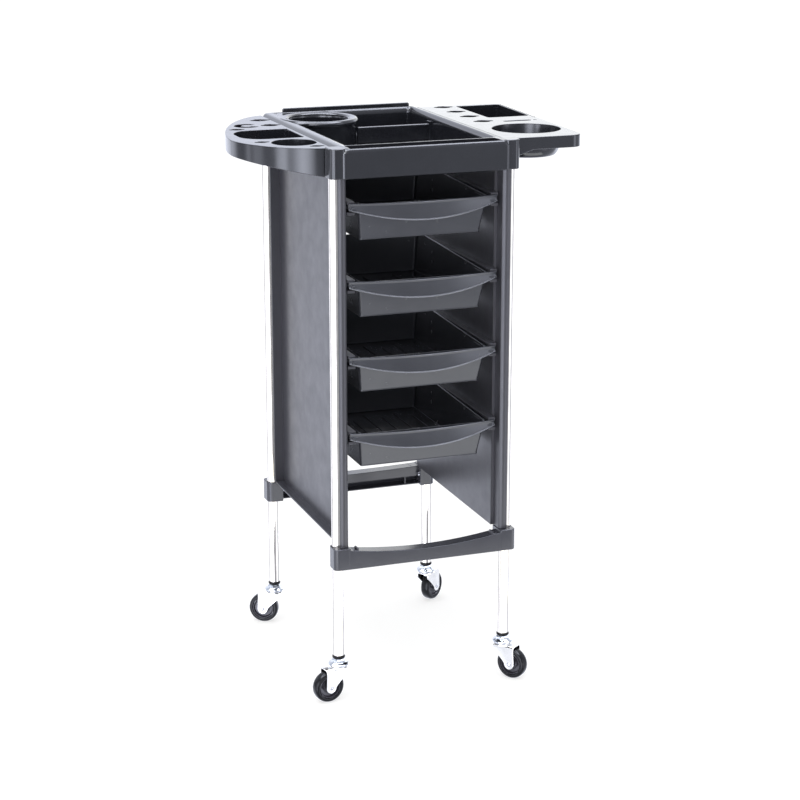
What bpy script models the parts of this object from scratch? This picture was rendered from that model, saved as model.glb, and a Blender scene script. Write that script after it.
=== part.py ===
"""Spa trolley cart: a moulded top tray with two side wings on four chromed tube legs,
two slotted side panels carrying four sliding drawers, two lower crossbars and four
swivel casters. Metres, +Z up, front towards -Y. Run in Blender 4.5 on any open file."""

import math

import bmesh
import bpy
from mathutils import Matrix

# Driving dimensions, in the trolley's own frame: X and Y from the middle of the four
# legs, Z from the floor.
LEG_X = 0.139
LEG_Y = 0.174
TUBE_R = 0.0095
TUBE_WALL = 0.001
TUBE_LOW = 0.0745
GAP = 0.0003
SOCKET_R = TUBE_R + GAP

RIM_Z = 0.870
APRON_Z = 0.826
TRAY_HALF = 0.1365
TRAY_FRONT = -0.194
TRAY_REAR = 0.222
TRAY_FLOOR = 0.8295
GUARD_Z = 0.877
TUBE_TOP = 0.8625

WING_TOP = 0.868
WING_SKIN = 0.0025
WING_ROOT = TRAY_HALF + 0.0005
LEFT_REACH = 0.2560
RIGHT_REACH = 0.2830
WING_LOW = 0.8230

BAR_LOW = 0.220
BAR_TOP = 0.2540
BAR_HALF = 0.1505
BAR_FACE = 0.195

PANEL_IN = 0.1200
PANEL_OUT = 0.1225
PANEL_LOW = BAR_TOP + 0.0005
PANEL_TOP = APRON_Z - GAP
POST_IN = 0.1250
POST_OUT = 0.1385

DRAWER_TOPS = (0.787, 0.669, 0.552, 0.433)
# A drawer's tub at its rim and at its floor: half width, front and rear.
DRAWER_TOP_RIM = (0.1040, -0.1770, 0.1250)
DRAWER_BOTTOM_RIM = (0.0965, -0.1625, 0.1210)
DRAWER_DEEP = 0.0590
DRAWER_SKIN = 0.0025
DRAWER_REAR_RISE = 0.010
LIP_HALF = 0.1235
LIP_SIDE_Y = -0.178
LIP_MID_Y = -0.195

WHEEL_R = 0.025
TRAIL = 0.019

# Caster rest headings, in degrees from +X towards +Y: where each wheel trails.
CORNERS = {
    "front_left": (-1, -1, 190.0),
    "front_right": (1, -1, 306.0),
    "rear_left": (-1, 1, 149.0),
    "rear_right": (1, 1, 37.0),
}

TREAD_EDGE = (0.0235, 0.0078)

# The front right wheel's tread edge reaches furthest forward. It and the tray's rear face
# set the trolley's box, whose middle is the part's origin.
FRONT_HEADING = math.radians(CORNERS["front_right"][2])
FRONT_REACH = LEG_Y - (TRAIL + TREAD_EDGE[0]) * math.sin(FRONT_HEADING)
FRONT_REACH += TREAD_EDGE[1] * math.cos(FRONT_HEADING)
CENTRE = (-(RIGHT_REACH - LEFT_REACH) / 2, -(TRAY_REAR - FRONT_REACH) / 2, 0.0)

LOOKS = {
    "tray_plastic": ((0.012, 0.012, 0.014), 0.18, 0.0),
    "panel_plastic": ((0.030, 0.030, 0.033), 0.45, 0.0),
    "drawer_plastic": ((0.022, 0.022, 0.025), 0.35, 0.0),
    "bar_plastic": ((0.028, 0.028, 0.031), 0.40, 0.0),
    "chrome": ((0.85, 0.85, 0.87), 0.08, 1.0),
    "steel": ((0.60, 0.60, 0.62), 0.25, 1.0),
    "hub_plastic": ((0.070, 0.070, 0.075), 0.40, 0.0),
    "tyre_rubber": ((0.015, 0.015, 0.016), 0.50, 0.0),
}


def clear_scene():
    for old in list(bpy.data.objects):
        bpy.data.objects.remove(old)


def new_collection(name):
    made = bpy.data.collections.new(name)
    bpy.context.scene.collection.children.link(made)
    return made


def new_material(name):
    colour, roughness, metallic = LOOKS[name]
    made = bpy.data.materials.new(name)
    made.use_nodes = True
    shader = made.node_tree.nodes["Principled BSDF"]
    shader.inputs["Base Color"].default_value = (*colour, 1.0)
    shader.inputs["Roughness"].default_value = roughness
    shader.inputs["Metallic"].default_value = metallic
    made.diffuse_color = (*colour, 1.0)
    return made


clear_scene()
PARTS = new_collection("spa_trolley_cart")
CUTTERS = new_collection("cutters")
MATERIALS = {name: new_material(name) for name in LOOKS}


def make_empty(name, location, parent=None, heading=0.0):
    """An empty that holds a body's axis."""
    empty = bpy.data.objects.new(name, None)
    empty.empty_display_size = 0.03
    empty.location = location
    empty.rotation_euler = (0, 0, math.radians(heading))
    empty.parent = parent
    PARTS.objects.link(empty)
    return empty


CART = make_empty("trolley", CENTRE)


def place(obj, look, parent=CART):
    """Make a shape one of the trolley's parts."""
    obj.parent = parent
    if look:
        obj.data.materials.clear()
        obj.data.materials.append(MATERIALS[look])
    for collection in list(obj.users_collection):
        collection.objects.unlink(obj)
    PARTS.objects.link(obj)
    return obj


def from_bmesh(name, shape):
    """A shape built in bmesh, first kept with the helpers and turned into a part by place()."""
    bmesh.ops.recalc_face_normals(shape, faces=shape.faces)
    mesh = bpy.data.meshes.new(name)
    shape.to_mesh(mesh)
    shape.free()
    obj = bpy.data.objects.new(name, mesh)
    obj.parent = CART
    CUTTERS.objects.link(obj)
    return obj


def block(name, low, high):
    """A box between two corners."""
    size = [b - a for a, b in zip(low, high)]
    middle = [(a + b) / 2 for a, b in zip(low, high)]
    shape = bmesh.new()
    matrix = Matrix.Translation(middle) @ Matrix.Diagonal((*size, 1.0))
    bmesh.ops.create_cube(shape, size=1.0, matrix=matrix)
    return from_bmesh(name, shape)


def tub(name, bottom, top):
    """A drafted box between two level rectangles, each (half width, front, rear, height)."""
    shape = bmesh.new()
    bmesh.ops.create_cube(shape, size=1.0)
    for vert in shape.verts:
        half, front, rear, height = bottom if vert.co.z < 0 else top
        vert.co = (math.copysign(half, vert.co.x), front if vert.co.y < 0 else rear, height)
    return from_bmesh(name, shape)


def rod(name, radius, low, high, at=(0.0, 0.0), sides=20):
    """A cylinder along Z between two heights."""
    shape = bmesh.new()
    matrix = Matrix.Translation((at[0], at[1], (low + high) / 2))
    bmesh.ops.create_cone(
        shape,
        cap_ends=True,
        segments=sides,
        radius1=radius,
        radius2=radius,
        depth=high - low,
        matrix=matrix,
    )
    return from_bmesh(name, shape)


def turned(name, profile, sides):
    """A closed (radius, height) outline, outer side first and downwards, turned about Z."""
    shape = bmesh.new()
    verts = [shape.verts.new((r, 0.0, z)) for r, z in profile]
    on_axis = profile[0][0] == 0.0 and profile[-1][0] == 0.0
    for a, b in zip(verts, verts[1:] + verts[:1]):
        if not (on_axis and b is verts[0]):
            shape.edges.new((a, b))
    mesh = bpy.data.meshes.new(name)
    shape.to_mesh(mesh)
    shape.free()
    obj = bpy.data.objects.new(name, mesh)
    obj.parent = CART
    CUTTERS.objects.link(obj)
    screw = obj.modifiers.new("turn", "SCREW")
    screw.steps = sides
    screw.render_steps = sides
    screw.use_merge_vertices = True
    screw.merge_threshold = 0.00001
    return obj


def evaluated_mesh(obj):
    """The object's mesh with its modifiers applied, its loose caps welded and its faces outwards."""
    bpy.context.view_layer.update()
    graph = bpy.context.evaluated_depsgraph_get()
    mesh = bpy.data.meshes.new_from_object(obj.evaluated_get(graph))
    shape = bmesh.new()
    shape.from_mesh(mesh)
    bmesh.ops.remove_doubles(shape, verts=shape.verts, dist=0.000005)
    bmesh.ops.recalc_face_normals(shape, faces=shape.faces)
    shape.to_mesh(mesh)
    shape.free()
    mesh.name = obj.name
    return mesh


def plate(name, outlines, low, high, plane="XY"):
    """Flat outlines, the later ones holes in the first, with thickness from low to high along
    the plane's normal: Z for XY, -Y for XZ and X for YZ."""
    curve = bpy.data.curves.new(name, "CURVE")
    curve.dimensions = "2D"
    curve.fill_mode = "BOTH"
    curve.extrude = (high - low) / 2
    for outline in outlines:
        spline = curve.splines.new("POLY")
        spline.points.add(len(outline) - 1)
        for point, (u, v) in zip(spline.points, outline):
            point.co = (u, v, 0.0, 1.0)
        spline.use_cyclic_u = True
    guide = bpy.data.objects.new(name + "_outline", curve)
    CUTTERS.objects.link(guide)
    mesh = evaluated_mesh(guide)
    bpy.data.objects.remove(guide)
    turns = {
        "XY": Matrix.Identity(4),
        "XZ": Matrix.Rotation(math.radians(90), 4, "X"),
        "YZ": Matrix(((0, 0, 1, 0), (1, 0, 0, 0), (0, 1, 0, 0), (0, 0, 0, 1))),
    }
    mesh.transform(turns[plane] @ Matrix.Translation((0, 0, (low + high) / 2)))
    obj = bpy.data.objects.new(name, mesh)
    obj.parent = CART
    CUTTERS.objects.link(obj)
    return obj


def boolean(target, operation, tools):
    for tool in tools:
        made = target.modifiers.new(operation.lower(), "BOOLEAN")
        made.operation = operation
        made.solver = "EXACT"
        made.object = tool
        tool.hide_render = True
        tool.display_type = "WIRE"
    return target


def join(target, *tools):
    return boolean(target, "UNION", tools)


def cut(target, *tools):
    return boolean(target, "DIFFERENCE", tools)


def template(obj):
    """The finished mesh of a piece made more than once. Its construction shapes are removed."""
    mesh = evaluated_mesh(obj)
    tools = {modifier.object for modifier in obj.modifiers if modifier.type == "BOOLEAN"}
    for helper in tools:
        bpy.data.objects.remove(helper)
    bpy.data.objects.remove(obj)
    return mesh


def smooth(mesh, angle=35.0):
    mesh.shade_smooth()
    mesh.set_sharp_from_angle(angle=math.radians(angle))


def copy_of(mesh, name, look, parent, location=(0, 0, 0), turn=0.0):
    """One more object of a repeated piece."""
    obj = bpy.data.objects.new(name, mesh)
    obj.location = location
    obj.rotation_euler = (0, 0, math.radians(turn))
    return place(obj, look, parent)


def arc(centre, radius, start, end, count):
    """Points on a circle, from one angle to another in degrees."""
    points = []
    for i in range(count + 1):
        angle = math.radians(start + (end - start) * i / count)
        points.append((centre[0] + radius * math.cos(angle), centre[1] + radius * math.sin(angle)))
    return points


def circle(centre, radius, count=24):
    return arc(centre, radius, 0.0, 360.0 * (count - 1) / count, count - 1)


def rounded(low, high, radii, count=4):
    """A rectangle with its own corner radius at each corner, anticlockwise from the lowest."""
    corners = (
        (low[0], low[1], 180.0, 1, 1),
        (high[0], low[1], 270.0, -1, 1),
        (high[0], high[1], 0.0, -1, -1),
        (low[0], high[1], 90.0, 1, -1),
    )
    points = []
    for (x, y, start, inward_x, inward_y), r in zip(corners, radii):
        if r:
            points += arc((x + inward_x * r, y + inward_y * r), r, start, start + 90.0, count)
        else:
            points.append((x, y))
    return points


def keyhole(centre, radius, reach, turn=0.0, slit=0.0022):
    """A round tool hole with a narrow slit to each side along X, turned in degrees."""
    angle = math.degrees(math.asin(slit / radius))
    points = arc((0, 0), radius, angle, 180.0 - angle, 4)
    points += [(-reach, slit), (-reach, -slit)]
    points += arc((0, 0), radius, 180.0 + angle, 360.0 - angle, 4)
    points += [(reach, -slit), (reach, slit)]
    c, s = math.cos(math.radians(turn)), math.sin(math.radians(turn))
    return [(centre[0] + c * x - s * y, centre[1] + s * x + c * y) for x, y in points]


def mirrored(points):
    return [(-x, y) for x, y in reversed(points)]


# Top tray

BASIN_LEFT = -0.108
BASIN_RIGHT = 0.118
BASIN_FRONT = -0.150
BASIN_REAR = 0.205
RING_AT = (-0.064, 0.134)
RING_IN = 0.047
RING_OUT = 0.061
RING_LIP = 0.064
DIVIDER_Y = 0.108
DIVIDER_HALF = 0.0025
TAB_Y = (-0.085, 0.085)
TAB_HALF = 0.010


def corner_post(side_x, side_y):
    """The rounded column over one leg, with its rounding on the outer corner. The rear
    ones stop under the wings' plates."""
    low = (0.1260, 0.1620)
    high = (0.1508, 0.1925)
    outline = rounded(low, high, (0.0, 0.0, 0.008, 0.0))
    outline = [(side_x * x, side_y * y) for x, y in outline]
    name = f"post_{side_x}_{side_y}"
    top = RIM_Z + 0.001 if side_y < 0 else WING_TOP - WING_SKIN - 0.0006
    return plate(name, [outline], APRON_Z, top)


def ring_holder():
    """The tall round cup holder with a rolled lip."""
    low = TRAY_FLOOR - 0.002
    top = RIM_Z + 0.002
    profile = [
        (RING_LIP - 0.002, top),
        (RING_LIP, top - 0.002),
        (RING_LIP, top - 0.005),
        (RING_OUT, top - 0.007),
        (RING_OUT, low),
        (RING_IN, low),
        (RING_IN, top - 0.002),
        (RING_IN + 0.002, top),
    ]
    ring = turned("ring_wall", profile, 28)
    ring.location = (*RING_AT, 0.0)
    return ring


def build_top_tray():
    tray = block("top_tray", (-TRAY_HALF, TRAY_FRONT, APRON_Z), (TRAY_HALF, TRAY_REAR, RIM_Z))
    place(tray, "tray_plastic")
    join(tray, *(corner_post(x, y) for x in (-1, 1) for y in (-1, 1)))
    basin_low = (BASIN_LEFT, BASIN_FRONT, TRAY_FLOOR)
    basin = block("basin", basin_low, (BASIN_RIGHT, BASIN_REAR, RIM_Z + 0.01))
    channel = block("front_channel", (-0.120, -0.1895, RIM_Z - 0.006), (0.120, -0.160, RIM_Z + 0.01))
    under = APRON_Z - 0.006
    skin = RIM_Z - 0.0035
    pockets = (
        block("front_pocket", (-0.118, -0.1905, under), (0.118, -0.1535, RIM_Z - 0.009)),
        block("left_pocket", (-0.1310, -0.150, under), (-0.1115, 0.155, skin)),
        block("right_pocket", (0.1215, -0.150, under), (0.1310, 0.155, skin)),
        block("rear_pocket", (-0.118, 0.2085, under), (0.118, 0.2185, skin)),
    )
    cut(tray, basin, channel, *pockets)
    join(tray, ring_holder())
    well = rod("ring_well", RING_IN, TRAY_FLOOR, RIM_Z + 0.01, RING_AT, 28)
    sleeve = [(0.0590, RIM_Z - 0.003), (0.0590, under), (0.0495, under), (0.0495, RIM_Z - 0.003)]
    ring_pocket = turned("ring_pocket", sleeve, 28)
    ring_pocket.location = (*RING_AT, 0.0)
    cut(tray, well, ring_pocket)
    guides = []
    for index, side in enumerate((-1, 1)):
        middle = DIVIDER_Y + side * (DIVIDER_HALF + GAP + 0.0015)
        low = (BASIN_RIGHT - 0.004, middle - 0.0015, TRAY_FLOOR - 0.001)
        high = (BASIN_RIGHT + 0.001, middle + 0.0015, RIM_Z - 0.010)
        guides.append(block(f"divider_guide_{index}", low, high))
    guard = block("rear_guard", (-0.099, 0.2155, RIM_Z - 0.002), (0.122, 0.2195, GUARD_Z))
    join(tray, guard, *guides)
    sockets = []
    for x in (-1, 1):
        for y in (-1, 1):
            at = (x * LEG_X, y * LEG_Y)
            name = f"leg_socket_{x}_{y}"
            sockets.append(rod(name, SOCKET_R, APRON_Z - 0.01, TUBE_TOP + GAP, at, 24))
    slots = []
    for side in (-1, 1):
        for y in TAB_Y:
            xs = sorted((side * 0.128, side * 0.140))
            low = (xs[0], y - TAB_HALF - GAP, 0.8447)
            high = (xs[1], y + TAB_HALF + GAP, 0.8483)
            slots.append(block(f"tab_slot_{side}_{y}", low, high))
    cut(tray, *sockets, *slots)
    return tray


def build_divider():
    """The loose upright sheet between the ring holder and the basin's right wall."""
    reach = math.sqrt(RING_OUT**2 - (RING_AT[1] - DIVIDER_Y - DIVIDER_HALF) ** 2)
    low = (RING_AT[0] + reach + 0.0006, DIVIDER_Y - DIVIDER_HALF, TRAY_FLOOR + GAP)
    high = (BASIN_RIGHT - GAP, DIVIDER_Y + DIVIDER_HALF, RIM_Z - 0.014)
    place(block("tray_divider", low, high), "tray_plastic")


# Side wings

LEFT_MIDDLE_Y = -0.033
LEFT_FRONT = (0.124, 1.75)
LEFT_REAR = (0.244, 1.60)
RIGHT_FRONT = -0.161
RIGHT_REAR = 0.218
BOWL_AT = (0.211, -0.071)
WELL_AT = (-0.1735, -0.086)
WELL_R = 0.034


def left_outline(inset):
    """A D: straight along the tray, and outside it two quarter ovals, the front one shorter.
    Each oval has its own depth along Y and its own power, where 2 is an ellipse."""
    span = LEFT_REACH - WING_ROOT - inset
    count = 26
    points = []
    for i in range(count + 1):
        angle = math.radians(-90 + 180 * i / count)
        depth, power = LEFT_FRONT if angle < 0 else LEFT_REAR
        out = span * abs(math.cos(angle)) ** (2 / power)
        along = (depth - inset) * abs(math.sin(angle)) ** (2 / power)
        points.append((-WING_ROOT - out, LEFT_MIDDLE_Y + math.copysign(along, angle)))
    return [(min(x, -WING_ROOT - inset), y) for x, y in points]


def post_notch(side):
    """Room under the wing's plate for the tray's rear corner post."""
    xs = sorted((side * (WING_ROOT - 0.01), side * 0.1513))
    high = (xs[1], 0.1935, WING_TOP - WING_SKIN - 0.0002)
    return block(f"post_notch_{side}", (xs[0], 0.1610, 0.80), high)


def wing_tabs(side):
    """The two tongues that hook into the tray's side slots."""
    tabs = []
    for y in TAB_Y:
        xs = sorted((side * 0.1300, side * (WING_ROOT + 0.001)))
        low = (xs[0], y - TAB_HALF, 0.8450)
        high = (xs[1], y + TAB_HALF, 0.8480)
        tabs.append(block(f"wing_tab_{side}_{y}", low, high))
    return tabs


def horseshoe(centre, outer, inner, opening):
    """A C-shaped slot, open towards +X by the given half angle."""
    points = arc(centre, outer, opening, 360.0 - opening, 12)
    return points + arc(centre, inner, 360.0 - opening, opening, 8)


def long_compartment(inset):
    """The left wing's long hollow: square at the tray, round at its outer end."""
    low = (-0.236 + inset, -0.040 + inset)
    high = (-0.1425 - inset, 0.055 - inset)
    return rounded(low, high, (0.035 - inset, 0.002, 0.002, 0.035 - inset), 6)


def slanted_cut(name):
    """What lies under the left skirt's sloping lower edge."""
    rise = 0.844 - WING_LOW
    outline = [
        (-WING_ROOT + 0.02, 0.78),
        (-WING_ROOT + 0.02, WING_LOW),
        (-WING_ROOT, WING_LOW),
        (-LEFT_REACH, WING_LOW + rise),
        (-LEFT_REACH - 0.02, WING_LOW + rise),
        (-LEFT_REACH - 0.02, 0.78),
    ]
    return plate(name, [outline], -0.30, 0.30, "XZ")


def build_left_wing():
    wing = plate("left_wing", [left_outline(0.0)], 0.815, WING_TOP)
    place(wing, "tray_plastic")
    under = plate("left_hollow", [left_outline(WING_SKIN)], 0.80, WING_TOP - WING_SKIN)
    cut(wing, under)
    notch_low = (-0.1535, 0.1585, APRON_Z + 0.001)
    join(
        wing,
        plate("long_cup", [long_compartment(-0.002)], 0.8435, WING_TOP - 0.001),
        rod("round_cup", WELL_R + 0.0015, 0.8365, WING_TOP - 0.001, WELL_AT, 24),
        block("notch_wall_left", notch_low, (-0.1372, 0.1960, WING_TOP - 0.001)),
    )
    holes = [
        keyhole((-0.148, 0.158), 0.0085, 0.0145),
        keyhole((-0.150, 0.098), 0.0085, 0.0145),
        horseshoe((-0.188, 0.104), 0.0200, 0.0110, 38.0),
        keyhole((-0.2160, 0.0760), 0.0060, 0.0100),
        keyhole((-0.2200, -0.0670), 0.0050, 0.0100),
        keyhole((-0.1480, -0.1320), 0.0050, 0.0090),
    ]
    pierced = [
        plate(f"left_hole_{i}", [hole], WING_TOP - 0.006, WING_TOP + 0.01)
        for i, hole in enumerate(holes)
    ]
    cut(
        wing,
        plate("long_hollow", [long_compartment(0.0)], 0.8455, WING_TOP + 0.01),
        rod("round_hollow", WELL_R, 0.8385, WING_TOP + 0.01, WELL_AT, 24),
        *pierced,
        slanted_cut("left_skirt_slope"),
        post_notch(-1),
    )
    join(wing, *wing_tabs(-1))
    return wing


RIGHT_ROUND = 0.020
RIGHT_FLARE = 0.0135


def right_outline(inset):
    """Straight along the tray, with two round outer corners, the rear one further out."""
    front = (RIGHT_REACH - RIGHT_FLARE - RIGHT_ROUND, RIGHT_FRONT + RIGHT_ROUND)
    rear = (RIGHT_REACH - RIGHT_ROUND, RIGHT_REAR - RIGHT_ROUND)
    lean = math.degrees(math.atan2(rear[0] - front[0], rear[1] - front[1]))
    radius = RIGHT_ROUND - inset
    points = [(WING_ROOT + inset, RIGHT_FRONT + inset)]
    points += arc(front, radius, -90.0, -lean, 5)
    points += arc(rear, radius, -lean, 0.0, 1)
    points += arc(rear, radius, 0.0, 90.0, 5)[1:]
    points.append((WING_ROOT + inset, RIGHT_REAR - inset))
    return points


def right_edge(y):
    """The wing's slanted outer edge."""
    front, rear = RIGHT_FRONT + RIGHT_ROUND, RIGHT_REAR - RIGHT_ROUND
    return RIGHT_REACH - RIGHT_FLARE * (rear - y) / (rear - front)


def arched_gusset(name, low_y):
    """The skirt's deep inner end, which curves up to the shallow skirt."""
    shallow = WING_TOP - 0.019
    deep = APRON_Z + 0.001
    outline = [(WING_ROOT, WING_TOP - 0.003), (WING_ROOT, deep), (WING_ROOT + 0.006, deep)]
    for i in range(1, 9):
        t = i / 8
        outline.append((WING_ROOT + 0.006 + 0.042 * t, deep + (shallow - deep) * t ** 0.55))
    outline.append((WING_ROOT + 0.048, WING_TOP - 0.003))
    return plate(name, [outline], -low_y - WING_SKIN, -low_y, "XZ")


def bowl(name, offset, top):
    """The right wing's round bowl: its inside for an offset of 0, its outside for a wall's."""
    floor = 0.8295 - offset
    profile = [
        (0.0, top),
        (0.0535 + offset, top),
        (0.0520 + offset, 0.843),
        (0.0490 + offset, 0.834),
        (0.0440 + offset, floor),
        (0.0, floor),
    ]
    made = turned(name, profile, 24)
    made.location = (*BOWL_AT, 0.0)
    return made


def rear_compartment(outwards):
    """The long hollow at the rear, whose outer side follows the wing's slanted edge."""
    low, high = 0.060 - outwards, 0.205 + outwards
    side = 0.2015 - outwards
    wall = 0.0050 - outwards
    corner = 0.003
    points = []
    for (x, y), start in (
        ((side + corner, low + corner), 180.0),
        ((right_edge(low) - wall - corner, low + corner), 270.0),
        ((right_edge(high) - wall - corner, high - corner), 0.0),
        ((side + corner, high - corner), 90.0),
    ):
        points += arc((x, y), corner, start, start + 90.0, 3)
    return points


def comb_slots():
    """A row of narrow notches in the right rim, one shape with a box for each notch."""
    shape = bmesh.new()
    count = 14
    for i in range(count):
        y = 0.045 + (0.195 - 0.045) * i / (count - 1)
        middle = Matrix.Translation((right_edge(y) - 0.0022, y, WING_TOP))
        size = Matrix.Diagonal((0.009, 0.004, 0.006, 1.0))
        bmesh.ops.create_cube(shape, size=1.0, matrix=middle @ size)
    return from_bmesh("comb_slots", shape)


def build_right_wing():
    wing = plate("right_wing", [right_outline(0.0)], WING_TOP - 0.019, WING_TOP)
    place(wing, "tray_plastic")
    under = plate("right_hollow", [right_outline(WING_SKIN)], 0.80, WING_TOP - WING_SKIN)
    cut(wing, under)
    root_low = (WING_ROOT, RIGHT_FRONT, APRON_Z + 0.001)
    root_high = (WING_ROOT + WING_SKIN, RIGHT_REAR, WING_TOP - 0.001)
    notch_low = (WING_ROOT + 0.0002, 0.1585, APRON_Z + 0.001)
    join(
        wing,
        block("wing_root_wall", root_low, root_high),
        arched_gusset("front_gusset", RIGHT_FRONT),
        arched_gusset("rear_gusset", RIGHT_REAR - WING_SKIN),
        bowl("bowl_outside", 0.002, WING_TOP - 0.001),
        plate("rear_cup", [rear_compartment(0.002)], 0.833, WING_TOP - 0.001),
        block("notch_wall_right", notch_low, (0.1535, 0.1960, WING_TOP - 0.001)),
    )
    holes = [keyhole((0.178, y), 0.0080, 0.0130) for y in (0.203, 0.144, 0.085, 0.026)]
    holes.append(rounded((0.2100, 0.0105), (0.2570, 0.0155), (0.002,) * 4, 2))
    holes.append(circle((0.2625, 0.0130), 0.0025, 8))
    pierced = [
        plate(f"right_hole_{i}", [hole], WING_TOP - 0.006, WING_TOP + 0.01)
        for i, hole in enumerate(holes)
    ]
    cut(
        wing,
        bowl("bowl_inside", 0.0, WING_TOP + 0.01),
        plate("rear_hollow", [rear_compartment(0.0)], 0.835, WING_TOP + 0.01),
        *pierced,
        comb_slots(),
        post_notch(1),
    )
    join(wing, *wing_tabs(1))
    return wing


# Legs and casters

def build_legs():
    rings = [circle((0, 0), TUBE_R), circle((0, 0), TUBE_R - TUBE_WALL)]
    tube = template(plate("leg_tube", rings, TUBE_LOW, TUBE_TOP))
    smooth(tube)
    plug_profile = [
        (0.0081, 0.0950),
        (0.0081, TUBE_LOW - GAP),
        (0.0101, TUBE_LOW - GAP),
        (0.0101, 0.0697),
        (0.0044, 0.0697),
        (0.0044, 0.0950),
    ]
    plug = template(turned("plug", plug_profile, 12))
    smooth(plug)
    for corner, (x, y, _) in CORNERS.items():
        at = (x * LEG_X, y * LEG_Y, 0.0)
        copy_of(tube, f"leg_{corner}", "chrome", CART, at)
        copy_of(plug, f"leg_plug_{corner}", "bar_plastic", CART, at)


def caster_mount():
    """The stem, domed raceway cap and riveted king pin, all one turned steel piece."""
    profile = [
        (0.0, 0.0900),
        (0.0040, 0.0900),
        (0.0040, 0.0694),
        (0.0085, 0.0694),
        (0.0100, 0.0665),
        (0.0152, 0.0628),
        (0.0163, 0.0608),
        (0.0163, 0.0590),
        (0.0032, 0.0590),
        (0.0032, 0.0500),
        (0.0048, 0.0500),
        (0.0048, 0.0482),
        (0.0, 0.0482),
    ]
    return template(turned("caster_mount", profile, 14))


def caster_fork():
    """The pressed fork, trailing towards +X, its swivel axis on Z."""
    crown = rod("fork_crown", 0.0150, 0.0525, 0.0554, (0.0, 0.0), 16)
    cheeks = []
    for index, side in enumerate((-1, 1)):
        outline = [(0.0125, 0.0540), (-0.0090, 0.0540)]
        outline += arc((TRAIL, WHEEL_R), 0.0062, 215.0, 395.0, 5)
        ys = sorted((side * 0.0095, side * 0.0115))
        cheeks.append(plate(f"fork_cheek_{index}", [outline], -ys[1], -ys[0], "XZ"))
    join(crown, *cheeks)
    bore = rod("king_pin_hole", 0.0037, 0.04, 0.07, (0.0, 0.0), 12)
    axle_hole = rod("axle_hole", 0.0025, -0.02, 0.02, (0.0, 0.0), 8)
    axle_hole.rotation_euler = (math.radians(90), 0, 0)
    axle_hole.location = (TRAIL, 0.0, WHEEL_R)
    cut(crown, bore, axle_hole)
    return template(crown)


def across(mesh):
    """A piece turned about Z, laid over so that it turns about Y."""
    mesh.transform(Matrix.Rotation(math.radians(90), 4, "X"))
    return mesh


def caster_axle():
    half, head = 0.0119, 0.0133
    profile = [
        (0.0, head),
        (0.0036, head),
        (0.0036, half),
        (0.0020, half),
        (0.0020, -half),
        (0.0036, -half),
        (0.0036, -head),
        (0.0, -head),
    ]
    return across(template(turned("caster_axle", profile, 8)))


def wheel_hub():
    half_profile = [(0.0179, 0.0070), (0.0155, 0.0070), (0.0142, 0.0045), (0.0052, 0.0088)]
    profile = [half_profile[0]]
    profile += [(r, -z) for r, z in half_profile]
    profile += [(0.0025, -0.0088), (0.0025, 0.0088)]
    profile += list(reversed(half_profile[1:]))
    return across(template(turned("wheel_hub", profile, 12)))


def wheel_tyre():
    edge_r, edge_z = TREAD_EDGE
    profile = [
        (edge_r, edge_z),
        (WHEEL_R, 0.0035),
        (WHEEL_R, -0.0035),
        (edge_r, -edge_z),
        (0.0185, -0.0078),
        (0.0185, 0.0078),
    ]
    return across(template(turned("wheel_tyre", profile, 24)))


def build_casters():
    race_profile = [(0.0140, 0.0572), (0.0125, 0.0557), (0.0110, 0.0572), (0.0125, 0.0587)]
    meshes = {
        "caster_mount": caster_mount(),
        "ball_race": template(turned("ball_race", race_profile, 14)),
        "fork": caster_fork(),
        "axle": caster_axle(),
        "wheel_hub": wheel_hub(),
        "tyre": wheel_tyre(),
    }
    for mesh in meshes.values():
        smooth(mesh)
    for corner, (x, y, heading) in CORNERS.items():
        at = (x * LEG_X, y * LEG_Y, 0.0)
        copy_of(meshes["caster_mount"], f"caster_mount_{corner}", "chrome", CART, at)
        swivel = make_empty(f"swivel_axis_{corner}", at, CART, heading)
        copy_of(meshes["ball_race"], f"ball_race_{corner}", "steel", swivel)
        copy_of(meshes["fork"], f"fork_{corner}", "chrome", swivel)
        spin = make_empty(f"wheel_axis_{corner}", (TRAIL, 0.0, WHEEL_R), swivel)
        copy_of(meshes["axle"], f"axle_{corner}", "steel", spin)
        copy_of(meshes["wheel_hub"], f"wheel_hub_{corner}", "hub_plastic", spin)
        copy_of(meshes["tyre"], f"tyre_{corner}", "tyre_rubber", spin)


# Side panels

RIB_FRONT = -0.1720
RIB_REAR = 0.1600
RIB_REACH = 0.1090


def post_outline(side_y):
    """One end of a right-hand panel in plan, from the sheet's inner face to its outer face:
    a post with a half-round groove that wraps the inner half of the leg."""
    turn = math.degrees(math.acos((POST_OUT - LEG_X) / SOCKET_R))
    groove = arc((LEG_X, LEG_Y), SOCKET_R, turn, 360.0 - turn, 10)
    points = [(PANEL_IN, 0.1615), (POST_IN, 0.1615), (POST_IN, 0.1860), (POST_OUT, 0.1860)]
    points += groove
    points += [(POST_OUT, 0.1612), (PANEL_OUT, 0.1612)]
    return [(x, side_y * y) for x, y in points]


def panel_ribs(side):
    """An upper and a lower rib for each drawer, along the panel's inner face."""
    ribs = []
    for number, top in enumerate(DRAWER_TOPS, 1):
        for level, low, high in (("upper", -0.0020, 0.0025), ("lower", -0.0180, -0.0133)):
            xs = sorted((side * RIB_REACH, side * (PANEL_IN + 0.001)))
            corner_low = (xs[0], RIB_FRONT, top + low)
            corner_high = (xs[1], RIB_REAR, top + high)
            ribs.append(block(f"rib_{level}_{number}_{side}", corner_low, corner_high))
    return ribs


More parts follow.
